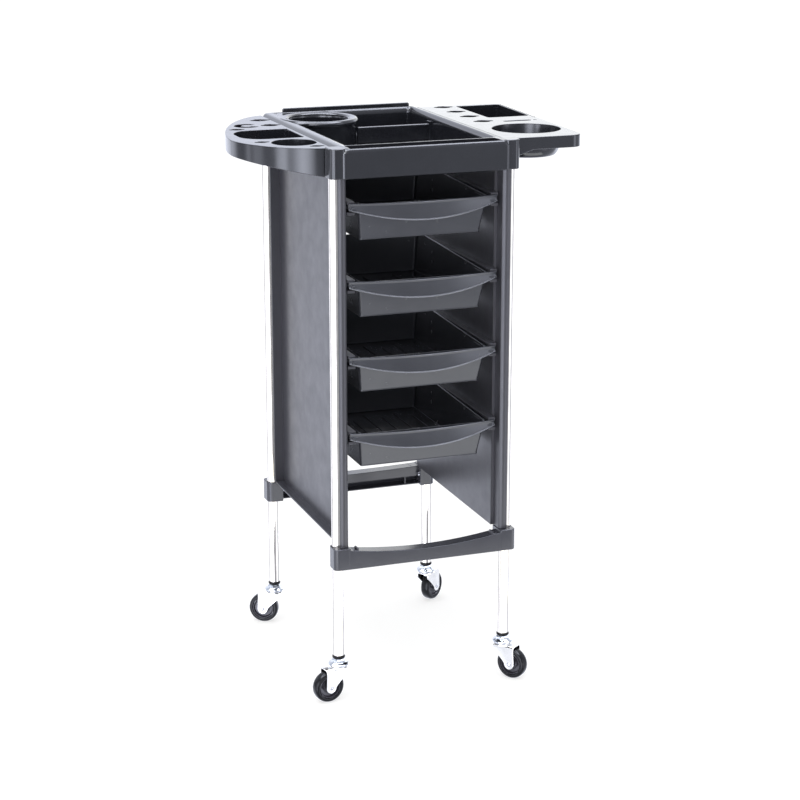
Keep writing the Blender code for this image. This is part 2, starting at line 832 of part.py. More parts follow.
def build_panel(name, side):
    outline = post_outline(1) + list(reversed(post_outline(-1)))
    if side < 0:
        outline = mirrored(outline)
    panel = plate(name, [outline], PANEL_LOW, PANEL_TOP)
    place(panel, "panel_plastic")
    xs = sorted((side * (PANEL_OUT - 0.001), side * (POST_OUT - 0.0004)))
    foot_low = PANEL_LOW + 0.0003
    foot = block(f"foot_{side}", (xs[0], -0.1600, foot_low), (xs[1], 0.1600, foot_low + 0.0025))
    join(panel, foot, *panel_ribs(side))
    return panel


# Crossbars

SCREW_Y = 0.1685
SCREW_Z = 0.2390
BEAM_LOW = 0.2345
BEAM_REAR = 0.0220
FRONT_SAG = 0.2405
REAR_SAG = 0.2505


def bar_end(side):
    """A socket that hugs one leg, and the clip that holds the foot of the panel's strip."""
    outline = rounded((0.1240, -BAR_FACE), (BAR_HALF, -0.1620), (0.003, 0.0075, 0.010, 0.0))
    if side < 0:
        outline = mirrored(outline)
    socket = plate(f"bar_socket_{side}", [outline], BAR_LOW, BAR_TOP)
    xs = sorted((side * 0.1105, side * 0.1250))
    clip = block(f"bar_clip_{side}", (xs[0], -0.1930, 0.2360), (xs[1], -0.1760, 0.2515))
    return socket, clip


def sagging(low, sag):
    """The outline of a bar from a height up to its top, an arc that sags between the sockets."""
    ends, half, count = 0.2535, 0.1400, 14
    outline = [(-half, low), (half, low)]
    for i in range(count + 1):
        x = half - 2 * half * i / count
        outline.append((x, sag + (ends - sag) * (x / half) ** 2))
    return outline


def crossbar_mesh(sag):
    """A bar: a face, a closed beam along its top, and an open hollow under the beam."""
    bar = plate("crossbar", [sagging(BAR_LOW, sag)], BAR_FACE - 0.0030, BAR_FACE - 0.0001, "XZ")
    beam = plate("bar_beam", [sagging(BEAM_LOW, sag)], BAR_FACE - BEAM_REAR, BAR_FACE - 0.0010, "XZ")
    rear = BEAM_REAR - BAR_FACE
    floor = block("bar_floor", (-0.125, 0.001 - BAR_FACE, BAR_LOW), (0.125, rear, BAR_LOW + 0.0025))
    join(bar, beam, floor)
    for side in (-1, 1):
        x = side * 0.1000
        low = (x - 0.001, 0.001 - BAR_FACE, BAR_LOW + 0.001)
        rib = block(f"bar_rib_{side}", low, (x + 0.001, rear - 0.001, BEAM_LOW + 0.001))
        socket, clip = bar_end(side)
        join(bar, rib, socket, clip)
    for side in (-1, 1):
        leg_hole = rod(f"bar_leg_hole_{side}", SOCKET_R, 0.20, 0.27, (side * LEG_X, -LEG_Y), 24)
        screw_hole = rod(f"bar_screw_hole_{side}", 0.0020, -0.0100, 0.0100, (0.0, 0.0), 8)
        screw_hole.rotation_euler = (0, math.radians(90), 0)
        screw_hole.location = (side * 0.1240, -SCREW_Y, SCREW_Z)
        cut(bar, leg_hole, screw_hole)
    return template(bar)


def build_crossbars():
    copy_of(crossbar_mesh(FRONT_SAG), "front_crossbar", "bar_plastic", CART)
    copy_of(crossbar_mesh(REAR_SAG), "rear_crossbar", "bar_plastic", CART, turn=180.0)
    profile = [
        (0.0, 0.0),
        (0.0030, 0.0),
        (0.0038, -0.0012),
        (0.0038, -0.0022),
        (0.0015, -0.0022),
        (0.0015, -0.0040),
        (0.0, -0.0044),
    ]
    screw = template(turned("bar_screw", profile, 8))
    smooth(screw)
    for corner, (x, y, _) in CORNERS.items():
        at = (x * (0.1240 - GAP - 0.0022), y * SCREW_Y, SCREW_Z)
        made = copy_of(screw, f"bar_screw_{corner}", "steel", CART, at)
        made.rotation_euler = (0, math.radians(-90 * x), 0)


# Drawers

def drawer_mesh():
    """A tapered tub hung on two side flanges behind a bowed lip, with its lip's top at Z 0."""
    half, front_y, rear_y = DRAWER_TOP_RIM
    low_half, low_front, low_rear = DRAWER_BOTTOM_RIM
    skin = DRAWER_SKIN
    body = tub(
        "drawer",
        (low_half, low_front, low_rear, -DRAWER_DEEP),
        (half, front_y, rear_y, 0.0),
    )
    hollow = tub(
        "drawer_hollow",
        (low_half - skin, low_front + skin, low_rear - skin, -DRAWER_DEEP + skin),
        (half - skin + 0.001, front_y + skin - 0.001, rear_y - skin, 0.004),
    )
    count = 16
    bow = LIP_SIDE_Y - LIP_MID_Y
    front = []
    back = []
    under = []
    for i in range(count + 1):
        x = LIP_HALF * (2 * i / count - 1)
        rise = (x / LIP_HALF) ** 2
        front.append((x, LIP_MID_Y + bow * rise))
        back.append((x, LIP_MID_Y + bow * rise + 0.0028))
        under.append((x, -0.0290 + 0.0185 * rise))
    lip = plate("drawer_lip", [front + list(reversed(back))], -0.035, 0.0)
    face = plate("lip_face", [under + [(LIP_HALF, 0.010), (-LIP_HALF, 0.010)]], 0.15, 0.22, "XZ")
    boolean(lip, "INTERSECT", [face])
    lip_mesh = template(lip)
    lip = bpy.data.objects.new("drawer_lip", lip_mesh)
    lip.parent = CART
    CUTTERS.objects.link(lip)
    shelf_outline = [(-0.104, -0.1720)] + [(x, y + 0.001) for x, y in front] + [(0.104, -0.1720)]
    shelf = plate("lip_shelf", [shelf_outline], -0.0100, -0.0075)
    rear_low = (-half + 0.001, rear_y - 0.0025, -0.0040)
    rear_wall = block("drawer_rear_wall", rear_low, (half - 0.001, rear_y - 0.0001, DRAWER_REAR_RISE))
    join(body, lip, shelf)
    for side in (-1, 1):
        xs = sorted((side * (half - skin - 0.002), side * 0.1185))
        flange_low = (xs[0], -0.1600, -0.0125)
        flange = block(f"drawer_flange_{side}", flange_low, (xs[1], rear_y - 0.001, -0.0030))
        xs = sorted((side * 0.1040, side * 0.1150))
        ear = block(f"drawer_ear_{side}", (xs[0], -0.1800, -0.0107), (xs[1], -0.1590, -0.0060))
        join(body, flange, ear)
    notch_low = (-0.098, front_y - 0.001, -0.0040)
    notch = block("front_wall_notch", notch_low, (0.098, front_y + 0.006, 0.01))
    cut(body, hollow, notch)
    join(body, rear_wall)
    ribs = []
    for i in range(6):
        x = -0.075 + 0.030 * i
        shift = 0.02 * (i % 2)
        low = (x - 0.004, -0.120 + shift, -DRAWER_DEEP + skin - 0.001)
        high = (x + 0.004, 0.080 + shift, -DRAWER_DEEP + skin + 0.0015)
        ribs.append(block(f"floor_rib_{i}", low, high))
    join(body, *ribs)
    return template(body)


def build_drawers():
    mesh = drawer_mesh()
    for number, top in enumerate(DRAWER_TOPS, 1):
        slide = make_empty(f"slide_axis_{number}", (0.0, 0.0, top), CART)
        copy_of(mesh, f"drawer_{number}", "drawer_plastic", slide)


build_top_tray()
build_divider()
build_left_wing()
build_right_wing()
build_legs()
build_casters()
build_panel("left_panel", -1)
build_panel("right_panel", 1)
build_crossbars()
build_drawers()
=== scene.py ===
"""Looks of a salon trolley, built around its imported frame: glossy moulded tray and wings, satin
panels, drawers, chromed legs and casters. Metres, +Z up, front towards -Y. Shapes are written in
the trolley's own frame, X and Y from the middle of its four legs, and moved there at the end."""

import math

import bmesh
import bpy
from mathutils import Matrix, Vector


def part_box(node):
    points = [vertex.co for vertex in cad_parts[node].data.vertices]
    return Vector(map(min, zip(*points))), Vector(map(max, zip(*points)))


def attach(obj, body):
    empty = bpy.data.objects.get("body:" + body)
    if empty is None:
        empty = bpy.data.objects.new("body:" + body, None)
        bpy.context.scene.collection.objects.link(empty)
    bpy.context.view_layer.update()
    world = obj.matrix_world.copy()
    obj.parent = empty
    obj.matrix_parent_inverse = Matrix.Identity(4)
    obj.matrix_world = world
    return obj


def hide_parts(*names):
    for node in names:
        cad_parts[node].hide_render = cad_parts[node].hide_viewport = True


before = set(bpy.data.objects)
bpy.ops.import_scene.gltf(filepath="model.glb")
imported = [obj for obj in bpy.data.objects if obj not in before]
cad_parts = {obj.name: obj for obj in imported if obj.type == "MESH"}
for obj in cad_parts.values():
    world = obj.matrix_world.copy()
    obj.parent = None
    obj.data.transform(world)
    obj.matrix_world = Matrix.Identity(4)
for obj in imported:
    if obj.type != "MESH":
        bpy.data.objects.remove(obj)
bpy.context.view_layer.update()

CORNERS = {"front_left": (-1, -1), "front_right": (1, -1), "rear_left": (-1, 1), "rear_right": (1, 1)}


def middle(node):
    low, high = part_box(node)
    return (low + high) / 2


def level(node, side):
    """The lowest (side 0) or highest (side 1) height of a node."""
    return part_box(node)[side].z


LEGS = {corner: middle(f"leg_{corner}") for corner in CORNERS}
ORIGIN = sum(LEGS.values(), Vector()) / 4
ORIGIN.z = 0.0
LEG_X = (LEGS["front_right"].x - LEGS["front_left"].x) / 2
LEG_Y = (LEGS["rear_left"].y - LEGS["front_left"].y) / 2
TUBE_R = (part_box("leg_front_left")[1].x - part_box("leg_front_left")[0].x) / 2
TUBE_LOW = level("leg_front_left", 0)
TUBE_TOP = level("leg_front_left", 1)
GAP = 0.0003

APRON_Z = level("top_tray", 0)
GUARD_Z = level("top_tray", 1)
RIM_Z = GUARD_Z - 0.007
WING_TOP = level("left_wing", 1)
TRAY_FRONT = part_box("top_tray")[0].y - ORIGIN.y
TRAY_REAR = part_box("top_tray")[1].y - ORIGIN.y
TRAY_HALF = 0.1365
TRAY_FLOOR = APRON_Z + 0.0035
LEFT_REACH = ORIGIN.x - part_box("left_wing")[0].x
RIGHT_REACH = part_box("right_wing")[1].x - ORIGIN.x
WING_ROOT = TRAY_HALF + 0.0005
WING_SKIN = 0.0025

PANEL_LOW = level("left_panel", 0)
PANEL_TOP = level("left_panel", 1)
BAR_LOW = level("front_crossbar", 0)
BAR_TOP = level("front_crossbar", 1)
BAR_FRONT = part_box("front_crossbar")[0].y - ORIGIN.y
BAR_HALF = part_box("front_crossbar")[1].x - ORIGIN.x


# Shapes


def shade(shape, angle=38.0):
    """Smooth faces, with sharp edges where the surface turns by more than the angle."""
    bmesh.ops.recalc_face_normals(shape, faces=shape.faces)
    limit = math.radians(angle)
    for face in shape.faces:
        face.smooth = True
    for edge in shape.edges:
        edge.smooth = len(edge.link_faces) != 2 or edge.calc_face_angle(0.0) < limit
    return shape


def loft(loops, closed=False, angle=38.0):
    """Faces between loops of equal length, which end in caps or, when closed, meet again."""
    shape = bmesh.new()
    rings = [[shape.verts.new(point) for point in loop] for loop in loops]
    pairs = list(zip(rings, rings[1:]))
    if closed:
        pairs.append((rings[-1], rings[0]))
    count = len(rings[0])
    for low, high in pairs:
        for i in range(count):
            j = (i + 1) % count
            shape.faces.new((low[i], low[j], high[j], high[i]))
    if not closed:
        shape.faces.new(list(reversed(rings[0])))
        shape.faces.new(rings[-1])
    return shade(shape, angle)


def turned(profile, sides=64, angle=38.0):
    """A closed (radius, height) outline turned about Z."""
    loops = []
    for i in range(sides):
        turn = 2 * math.pi * i / sides
        loops.append([(r * math.cos(turn), r * math.sin(turn), z) for r, z in profile])
    shape = loft(loops, closed=True)
    bmesh.ops.remove_doubles(shape, verts=shape.verts, dist=1e-6)
    return shade(shape, angle)


def moved(shape, at=(0, 0, 0), turn=None):
    """The shape turned by a matrix and then shifted."""
    matrix = Matrix.Translation(at)
    if turn is not None:
        matrix = matrix @ turn
    bmesh.ops.transform(shape, matrix=matrix, verts=shape.verts)
    return shape


def block(low, high, radius=0.0006, steps=2):
    """A box with rounded edges."""
    shape = bmesh.new()
    size = Vector(high) - Vector(low)
    centre = (Vector(high) + Vector(low)) / 2
    matrix = Matrix.Translation(centre) @ Matrix.Diagonal((*size, 1.0))
    bmesh.ops.create_cube(shape, size=1.0, matrix=matrix)
    radius = min(radius, 0.45 * min(size))
    bmesh.ops.bevel(shape, geom=shape.edges[:], offset=radius, segments=steps, profile=0.5,
                    affect="EDGES", clamp_overlap=True)
    return shade(shape, 50.0)


def side_block(side, low, high, radius=0.0006, steps=2):
    """A rounded box given for the right side (1), or its mirror image on the left (-1)."""
    xs = sorted((side * low[0], side * high[0]))
    return block((xs[0], *low[1:]), (xs[1], *high[1:]), radius, steps)


TURNS = {"XY": Matrix.Identity(4), "XZ": Matrix.Rotation(math.radians(90), 4, "X")}


def plate(outlines, low, high, radius=0.0006, plane="XY", steps=3):
    """Flat outlines, the later ones holes in the first, from low to high along the plane's
    normal (Z for XY, -Y for XZ), with rounded rims."""
    curve = bpy.data.curves.new("plate", "CURVE")
    curve.dimensions = "2D"
    curve.fill_mode = "BOTH"
    radius = min(radius, 0.49 * (high - low))
    curve.extrude = (high - low) / 2 - radius
    curve.bevel_depth = radius
    curve.bevel_resolution = steps
    curve.offset = -radius
    for outline in outlines:
        spline = curve.splines.new("POLY")
        spline.points.add(len(outline) - 1)
        for point, (u, v) in zip(spline.points, outline):
            point.co = (u, v, 0.0, 1.0)
        spline.use_cyclic_u = True
    guide = linked("plate", curve)
    shape = evaluated(guide)
    bpy.data.objects.remove(guide)
    bmesh.ops.remove_doubles(shape, verts=shape.verts, dist=2e-6)
    shade(shape, 38.0)
    for edge in shape.edges:
        flat = [abs(face.normal.z) > 0.9999 for face in edge.link_faces]
        if len(flat) == 2 and flat[0] != flat[1]:
            edge.smooth = False
    matrix = TURNS[plane] @ Matrix.Translation((0, 0, (low + high) / 2))
    bmesh.ops.transform(shape, matrix=matrix, verts=shape.verts)
    return shape


def arc(centre, radius, start, end, count):
    """Points on a circle, from one angle to another in degrees."""
    points = []
    for i in range(count + 1):
        angle = math.radians(start + (end - start) * i / count)
        points.append((centre[0] + radius * math.cos(angle), centre[1] + radius * math.sin(angle)))
    return points


def circle(centre, radius, count=48):
    return arc(centre, radius, 0.0, 360.0 * (count - 1) / count, count - 1)


def rounded(low, high, radii, count=6):
    """A rectangle with its own corner radius at each corner, anticlockwise from the lowest."""
    corners = (
        (low[0], low[1], 180.0, 1, 1),
        (high[0], low[1], 270.0, -1, 1),
        (high[0], high[1], 0.0, -1, -1),
        (low[0], high[1], 90.0, 1, -1),
    )
    points = []
    for (x, y, start, inward_x, inward_y), r in zip(corners, radii):
        r = max(r, 1e-5)
        points += arc((x + inward_x * r, y + inward_y * r), r, start, start + 90.0, count)
    return points


def mm(*rows):
    """Rows of numbers in millimetres, as rows in metres."""
    return [tuple(value / 1000 for value in row) for row in rows]


def at_height(outline, z):
    return [(x, y, z) for x, y in outline]


def mirrored(points):
    return [(-x, y) for x, y in reversed(points)]


def merged(shapes):
    """One shape of several closed ones, which are used up."""
    total = bmesh.new()
    for shape in shapes:
        mesh = bpy.data.meshes.new("part")
        shape.to_mesh(mesh)
        shape.free()
        total.from_mesh(mesh)
        bpy.data.meshes.remove(mesh)
    return total


def stored(name, shapes):
    """The shapes as one mesh."""
    total = merged(shapes)
    mesh = bpy.data.meshes.new(name)
    total.to_mesh(mesh)
    total.free()
    return mesh


def linked(name, data):
    """A new object of a mesh, curve, lamp or camera."""
    made = bpy.data.objects.new(name, data)
    bpy.context.scene.collection.objects.link(made)
    return made


def evaluated(obj):
    """The shape of an object with its modifiers applied."""
    bpy.context.view_layer.update()
    graph = bpy.context.evaluated_depsgraph_get()
    mesh = bpy.data.meshes.new_from_object(obj.evaluated_get(graph))
    shape = bmesh.new()
    shape.from_mesh(mesh)
    bpy.data.meshes.remove(mesh)
    return shape


def carved(shape, *tools, width=0.0006):
    """The shape with tools cut away, and the new rims rounded."""
    body = linked("target", stored("target", [shape]))
    cutters = [linked("tool", stored("tool", [tool])) for tool in tools]
    for cutter in cutters:
        cut = body.modifiers.new("cut", "BOOLEAN")
        cut.operation = "DIFFERENCE"
        cut.solver = "EXACT"
        cut.object = cutter
    if width:
        rim = body.modifiers.new("rim", "BEVEL")
        rim.limit_method = "ANGLE"
        rim.angle_limit = math.radians(50)
        rim.width = width
        rim.segments = 2
        rim.use_clamp_overlap = False
    made = evaluated(body)
    for helper in (body, *cutters):
        data = helper.data
        bpy.data.objects.remove(helper)
        bpy.data.meshes.remove(data)
    return shade(made, 40.0)


def copy_of(mesh, name, look, body, nodes, at=(0.0, 0.0, 0.0), heading=0.0):
    """One object of a mesh, placed in the trolley's frame. It stands for the given nodes."""
    obj = linked(name, mesh)
    obj.location = ORIGIN + Vector(at)
    obj.rotation_euler = (0.0, 0.0, heading)
    if not mesh.materials:
        mesh.materials.append(LOOKS[look])
    even = obj.modifiers.new("even_normals", "WEIGHTED_NORMAL")
    even.keep_sharp = True
    even.weight = 100
    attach(obj, body)
    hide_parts(*nodes)


def piece(name, shapes, look, nodes, heading=0.0):
    """A part of the trolley's fixed body, made of closed shapes."""
    copy_of(stored(name, shapes), name, look, "trolley", nodes, heading=heading)


# Materials


def feed(tree, node, **inputs):
    """Link or set a node's inputs, by name."""
    for key, value in inputs.items():
        link(tree, value, node.inputs[key.replace("_", " ")])


def link(tree, value, socket):
    if isinstance(value, bpy.types.NodeSocket):
        tree.links.new(value, socket)
    else:
        socket.default_value = value


def add(tree, kind, **inputs):
    """A node with its inputs, by name. Its first output is what comes back."""
    made = tree.nodes.new("ShaderNode" + kind)
    feed(tree, made, **inputs)
    return made.outputs[0]


def maths(tree, operation, *values):
    made = tree.nodes.new("ShaderNodeMath")
    made.operation = operation
    for socket, value in zip(made.inputs, values):
        link(tree, value, socket)
    return made.outputs[0]


def scaled(tree, value, low, high, start=0.3, end=0.7):
    """The value from start to end, stretched to go from low to high."""
    return add(tree, "MapRange", Value=value, From_Min=start, From_Max=end, To_Min=low, To_Max=high)


def blend(tree, share, low, high):
    """A colour between two."""
    made = tree.nodes.new("ShaderNodeMix")
    made.data_type = "RGBA"
    link(tree, share, made.inputs["Factor"])
    link(tree, low, made.inputs[6])
    link(tree, high, made.inputs[7])
    return made.outputs[2]


def new_look(name):
    made = bpy.data.materials.new(name)
    made.use_nodes = True
    tree = made.node_tree
    return made, tree, tree.nodes["Principled BSDF"]


def place_of(tree, stretch=(1.0, 1.0, 1.0)):
    """Object coordinates, stretched."""
    spot = tree.nodes.new("ShaderNodeTexCoord").outputs["Object"]
    return add(tree, "Mapping", Vector=spot, Scale=stretch)


def plastic(name, colour, light, roughness, spread, wave, grain, coat=0.0, shine=0.5):
    """Moulded plastic: a slow wave left by shrinkage, a fine grain, smudges that change its
    roughness and fine rubbed scratches. Wave and grain are (height, scale)."""
    made, tree, shader = new_look(name)
    spot = place_of(tree)
    cloud = add(tree, "TexNoise", Vector=spot, Scale=9.0, Detail=4.0, Roughness=0.6)
    smudge = add(tree, "TexNoise", Vector=spot, Scale=38.0, Detail=3.0, Roughness=0.55)
    scratch = add(tree, "TexNoise", Vector=place_of(tree, (60.0, 700.0, 90.0)), Scale=3.0, Detail=2.0)
    speck = add(tree, "TexNoise", Vector=spot, Scale=2300.0, Detail=1.0)
    tone = maths(tree, "ADD", scaled(tree, cloud, 0.0, 0.7), scaled(tree, speck, 0.0, 0.3))
    rough = scaled(tree, smudge, roughness - spread, roughness + spread)
    rough = maths(tree, "ADD", rough, scaled(tree, scratch, 0.0, 0.015, 0.45, 0.8))
    waves = add(tree, "TexNoise", Vector=spot, Scale=wave[1], Detail=1.0)
    grains = add(tree, "TexNoise", Vector=spot, Scale=grain[1], Detail=2.0)
    first = add(tree, "Bump", Height=waves, Distance=wave[0], Strength=1.0)
    second = add(tree, "Bump", Height=grains, Distance=grain[0], Strength=1.0, Normal=first)
    colours = blend(tree, tone, (*colour, 1.0), (*light, 1.0))
    feed(tree, shader, Base_Color=colours, Roughness=rough, Normal=second)
    feed(tree, shader, Specular_IOR_Level=shine, Coat_Weight=coat, Coat_Roughness=0.04)
    return made


def metal(name, colour, roughness, stretch, depth):
    """Plated metal with fine drawn streaks along one direction and a faint haze."""
    made, tree, shader = new_look(name)
    streak = add(tree, "TexNoise", Vector=place_of(tree, stretch), Scale=1.0, Detail=3.0)
    haze = add(tree, "TexNoise", Vector=place_of(tree), Scale=70.0, Detail=3.0)
    dull = tuple(0.86 * c for c in colour)
    tone = blend(tree, scaled(tree, haze, 0.0, 1.0), (*colour, 1.0), (*dull, 1.0))
    rough = scaled(tree, haze, roughness * 0.6, roughness * 1.4)
    rough = maths(tree, "ADD", rough, scaled(tree, streak, 0.0, 0.04))
    bump = add(tree, "Bump", Height=streak, Distance=depth, Strength=1.0)
    feed(tree, shader, Base_Color=tone, Roughness=rough, Normal=bump, Metallic=1.0)
    return made


def rubber(name, colour, light, roughness):
    """Soft tyre rubber with a mottled bloom and a fine pitted skin."""
    made, tree, shader = new_look(name)
    spot = place_of(tree)
    bloom = add(tree, "TexNoise", Vector=spot, Scale=120.0, Detail=4.0, Roughness=0.6)
    pits = add(tree, "TexNoise", Vector=spot, Scale=2600.0, Detail=2.0)
    tone = blend(tree, scaled(tree, bloom, 0.0, 1.0), (*colour, 1.0), (*light, 1.0))
    rough = scaled(tree, bloom, roughness - 0.08, roughness + 0.1)
    bump = add(tree, "Bump", Height=pits, Distance=0.00002, Strength=1.0)
    feed(tree, shader, Base_Color=tone, Roughness=rough, Normal=bump, Specular_IOR_Level=0.22)
    return made


LOOKS = {
    "tray": plastic("tray_gloss", (0.010, 0.011, 0.014), (0.016, 0.017, 0.022), 0.14, 0.03,
                    (0.00012, 26.0), (0.000004, 1500.0), coat=0.15),
    "panel": plastic("panel_satin", (0.036, 0.036, 0.044), (0.048, 0.047, 0.056), 0.36, 0.05,
                     (0.00012, 15.0), (0.000016, 1700.0)),
    "drawer": plastic("drawer_satin", (0.034, 0.036, 0.044), (0.046, 0.048, 0.058), 0.22, 0.05,
                      (0.00005, 22.0), (0.000003, 1700.0)),
    "bar": plastic("bar_satin", (0.034, 0.035, 0.045), (0.044, 0.045, 0.057), 0.16, 0.03,
                   (0.00010, 20.0), (0.000018, 1500.0)),
    "black": plastic("plug_black", (0.006, 0.006, 0.006), (0.011, 0.011, 0.012), 0.32, 0.05,
                     (0.00003, 60.0), (0.00001, 1900.0), shine=0.15),
    "chrome": metal("leg_chrome", (0.74, 0.70, 0.63), 0.03, (1100.0, 1100.0, 6.0), 0.000003),
    "cap": metal("cap_chrome", (0.60, 0.63, 0.66), 0.05, (240.0,) * 3, 0.000012),
    "caster": metal("caster_chrome", (1.0, 0.98, 0.92), 0.06, (240.0,) * 3, 0.000012),
    "zinc": metal("screw_zinc", (0.62, 0.62, 0.64), 0.24, (900.0,) * 3, 0.000006),
    "hub": plastic("hub_plastic", (0.022, 0.021, 0.028), (0.040, 0.038, 0.050), 0.20, 0.05,
                   (0.00003, 90.0), (0.00001, 1800.0)),
    "tyre": rubber("tyre_rubber", (0.003, 0.003, 0.004), (0.010, 0.010, 0.012), 0.16),
}
SLOTS = {look: f"{look}_plastic" for look in ("tray", "panel", "drawer", "bar", "hub")}
SLOTS |= {"black": "bar_plastic", "tyre": "tyre_rubber", "zinc": "steel"}
SLOTS |= {look: "chrome" for look in ("chrome", "cap", "caster")}


# Top tray

RING_AT = (-0.064, 0.134)
RING_IN = 0.047
RING_OUT = 0.061
RING_LIP = 0.064
DIVIDER_Y = 0.108
BASIN_RIGHT = 0.118
# how far in from the tray's left, right, front and rear side the basin's wall stands
BASIN = (0.0255, 0.0155, 0.0410, 0.0140)


def tray_body():
    """The tray as one skin: from the floor's underside out under the rails, down inside the
    apron, up its face, over the crowned rails and down to the basin's floor."""
    low, rim, floor = APRON_Z, RIM_Z, TRAY_FLOOR
    # each row: how far in from the basin's wall or from the apron, corner radius, height
    under = ((0.0060, 0.004, low + 0.0010), (0.0005, 0.006, low + 0.0010), (0.0, 0.006, low + 0.0016),
             (0.0, 0.006, rim - 0.0100))
    apron = ((0.0035, 0.008, rim - 0.0100), (0.0035, 0.008, low + 0.0009), (0.0027, 0.008, low),
             (0.0009, 0.010, low), (0.0, 0.010, low + 0.0009), (0.0, 0.010, rim - 0.0068))
    basin = ((0.0030, 0.007, floor + 0.0034), (0.0034, 0.007, floor + 0.0016),
             (0.0046, 0.006, floor + 0.0004), (0.0065, 0.005, floor))
    # each row: insets of the left, right, front and rear side, corner radius, height over the rim
    rails = mm(
        (2.2, 2.4, 0.2, 0.2, 10, -5.4),
        (3.8, 4.0, 0.8, 1.0, 10, -3.0),
        (5.2, 5.2, 1.7, 2.0, 9, -1.0),
        (6.8, 6.6, 3.0, 3.2, 8, 0.2),
        (9.5, 8.4, 6.0, 6.0, 7, 0.9),
        (14.0, 10.8, 20.0, 10.0, 7, 1.0),
        (19.5, 13.5, 38.0, 12.5, 7, 0.4),
        (23.8, 15.5, 40.0, 14.0, 7, -1.2),
        (26.2, 16.8, 41.6, 15.2, 7, -3.4),
        (27.3, 17.6, 42.6, 16.0, 7, -6.0),
        (27.7, 17.9, 43.1, 16.3, 7, -9.0),
    )
    steps = [(*(side + inset for side in BASIN), radius, z) for inset, radius, z in under]
    steps += [((inset,) * 4 + (radius, z)) for inset, radius, z in apron]
    steps += [(*insets, rim + z) for *insets, z in rails]
    steps += [(*(side + inset for side in BASIN), radius, z) for inset, radius, z in basin]
    loops = []
    for left, right, front, rear, radius, z in steps:
        near, far = (left - TRAY_HALF, TRAY_FRONT + front), (TRAY_HALF - right, TRAY_REAR - rear)
        loops.append(at_height(rounded(near, far, (radius,) * 4, 8), z))
    body = loft(loops, angle=60.0)
    channel = block((-0.1200, -0.1897, RIM_Z - 0.0060), (0.1200, -0.1605, RIM_Z + 0.01), 0.0008)
    return carved(body, channel, width=0.0007)


def ring_holder():
    """The tall round cup holder with a broad rolled lip."""
    top = RIM_Z + 0.0022
    profile = [
        (RING_OUT, TRAY_FLOOR - 0.0005),
        (RING_OUT, RIM_Z - 0.0070),
        (RING_OUT + 0.0006, RIM_Z - 0.0062),
        (RING_OUT + 0.0020, RIM_Z - 0.0058),
        (RING_LIP - 0.0002, RIM_Z - 0.0048),
        (RING_LIP + 0.0002, RIM_Z - 0.0034),
    ]
    for i in range(9):
        turn = math.radians(10 * i + 5)
        across, up = 0.0052 * math.cos(turn), 0.0050 * math.sin(turn)
        profile.append((RING_LIP - 0.0050 + across, top - 0.0050 + up))
    profile += [
        (0.0555, top - 0.0001),
        (0.0525, top - 0.0005),
        (0.0500, top - 0.0014),
        (0.0483, top - 0.0028),
        (0.0474, top - 0.0050),
        (RING_IN, top - 0.0080),
        (RING_IN - 0.0006, TRAY_FLOOR + 0.0022),
        (RING_IN - 0.0014, TRAY_FLOOR + 0.0008),
        (RING_IN - 0.0034, TRAY_FLOOR + 0.0001),
        (RING_IN - 0.0034, TRAY_FLOOR - 0.0005),
    ]
    return moved(turned(profile, 96), (*RING_AT, 0.0))


def corner_web():
    """The flat web that joins the ring holder to the left and rear rails."""
    outline = mm((-129, 208), (-129, 80), (-108, 79))
    outline += arc(RING_AT, 0.0615, -118.0, 52.0, 16)
    outline += mm((-20, 190), (-26, 208))
    return plate([outline, circle(RING_AT, 0.0478)], RIM_Z - 0.0045, RIM_Z + 0.0002, 0.0007)


def corner_post(side_x, side_y):
    """The rounded column over one leg. The rear ones end under the wings' plates."""
    outline = rounded((0.1262, 0.1622), (0.1508, 0.1925), (0.001, 0.0035, 0.0095, 0.0065), 8)
    outline = [(side_x * x, side_y * y) for x, y in outline]
    top = RIM_Z + 0.0010 if side_y < 0 else WING_TOP - WING_SKIN - 0.0006
    return plate([outline], APRON_Z, top, 0.0016, steps=4)


def build_tray():
    guard = rounded((-0.0990, RIM_Z - 0.002), (0.1220, GUARD_Z), (0.001, 0.001, 0.0035, 0.0035))
    shapes = [
        tray_body(),
        ring_holder(),
        corner_web(),
        plate([guard], -0.2196, -0.2152, 0.0014, "XZ", 4),
    ]
    shapes += [corner_post(x, y) for x, y in CORNERS.values()]
    for side in (-1, 1):
        middle_y = DIVIDER_Y + side * 0.0044
        low = (BASIN_RIGHT - 0.0035, middle_y - 0.0013, TRAY_FLOOR - 0.0005)
        shapes.append(block(low, (BASIN_RIGHT + 0.002, middle_y + 0.0013, RIM_Z - 0.0095), 0.0008, 3))
    piece("tray", shapes, "tray", ["top_tray"])


def build_divider():
    """The loose upright sheet, with a shallow groove along its top."""
    low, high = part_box("tray_divider")
    low, high = low - ORIGIN, high - ORIGIN
    sheet = block(low, high, 0.0012, 4)
    y = (low.y + high.y) / 2
    bead = block((low.x, y - 0.0034, high.z - 0.0042), (high.x, y + 0.0034, high.z + 0.0004), 0.0018, 4)
    shapes = []
    for shape in (sheet, bead):
        start = (low.x - 0.01, y - 0.0007, high.z - 0.0006)
        groove = block(start, (high.x + 0.01, y + 0.0007, high.z + 0.01), 0.0002)
        shapes.append(carved(shape, groove, width=0.0))
    piece("divider", shapes, "tray", ["tray_divider"])


# Side wings

LEFT_MIDDLE_Y = -0.033
LEFT_FRONT = (0.124, 1.75)
LEFT_REAR = (0.244, 1.60)
RIGHT_FRONT = -0.161
RIGHT_REAR = 0.218
RIGHT_ROUND = 0.020
RIGHT_FLARE = 0.0135
BOWL_AT = (0.211, -0.071)
WELL_AT = (-0.1735, -0.086)
WELL_R = 0.034
PLATE_HALF = WING_SKIN / 2


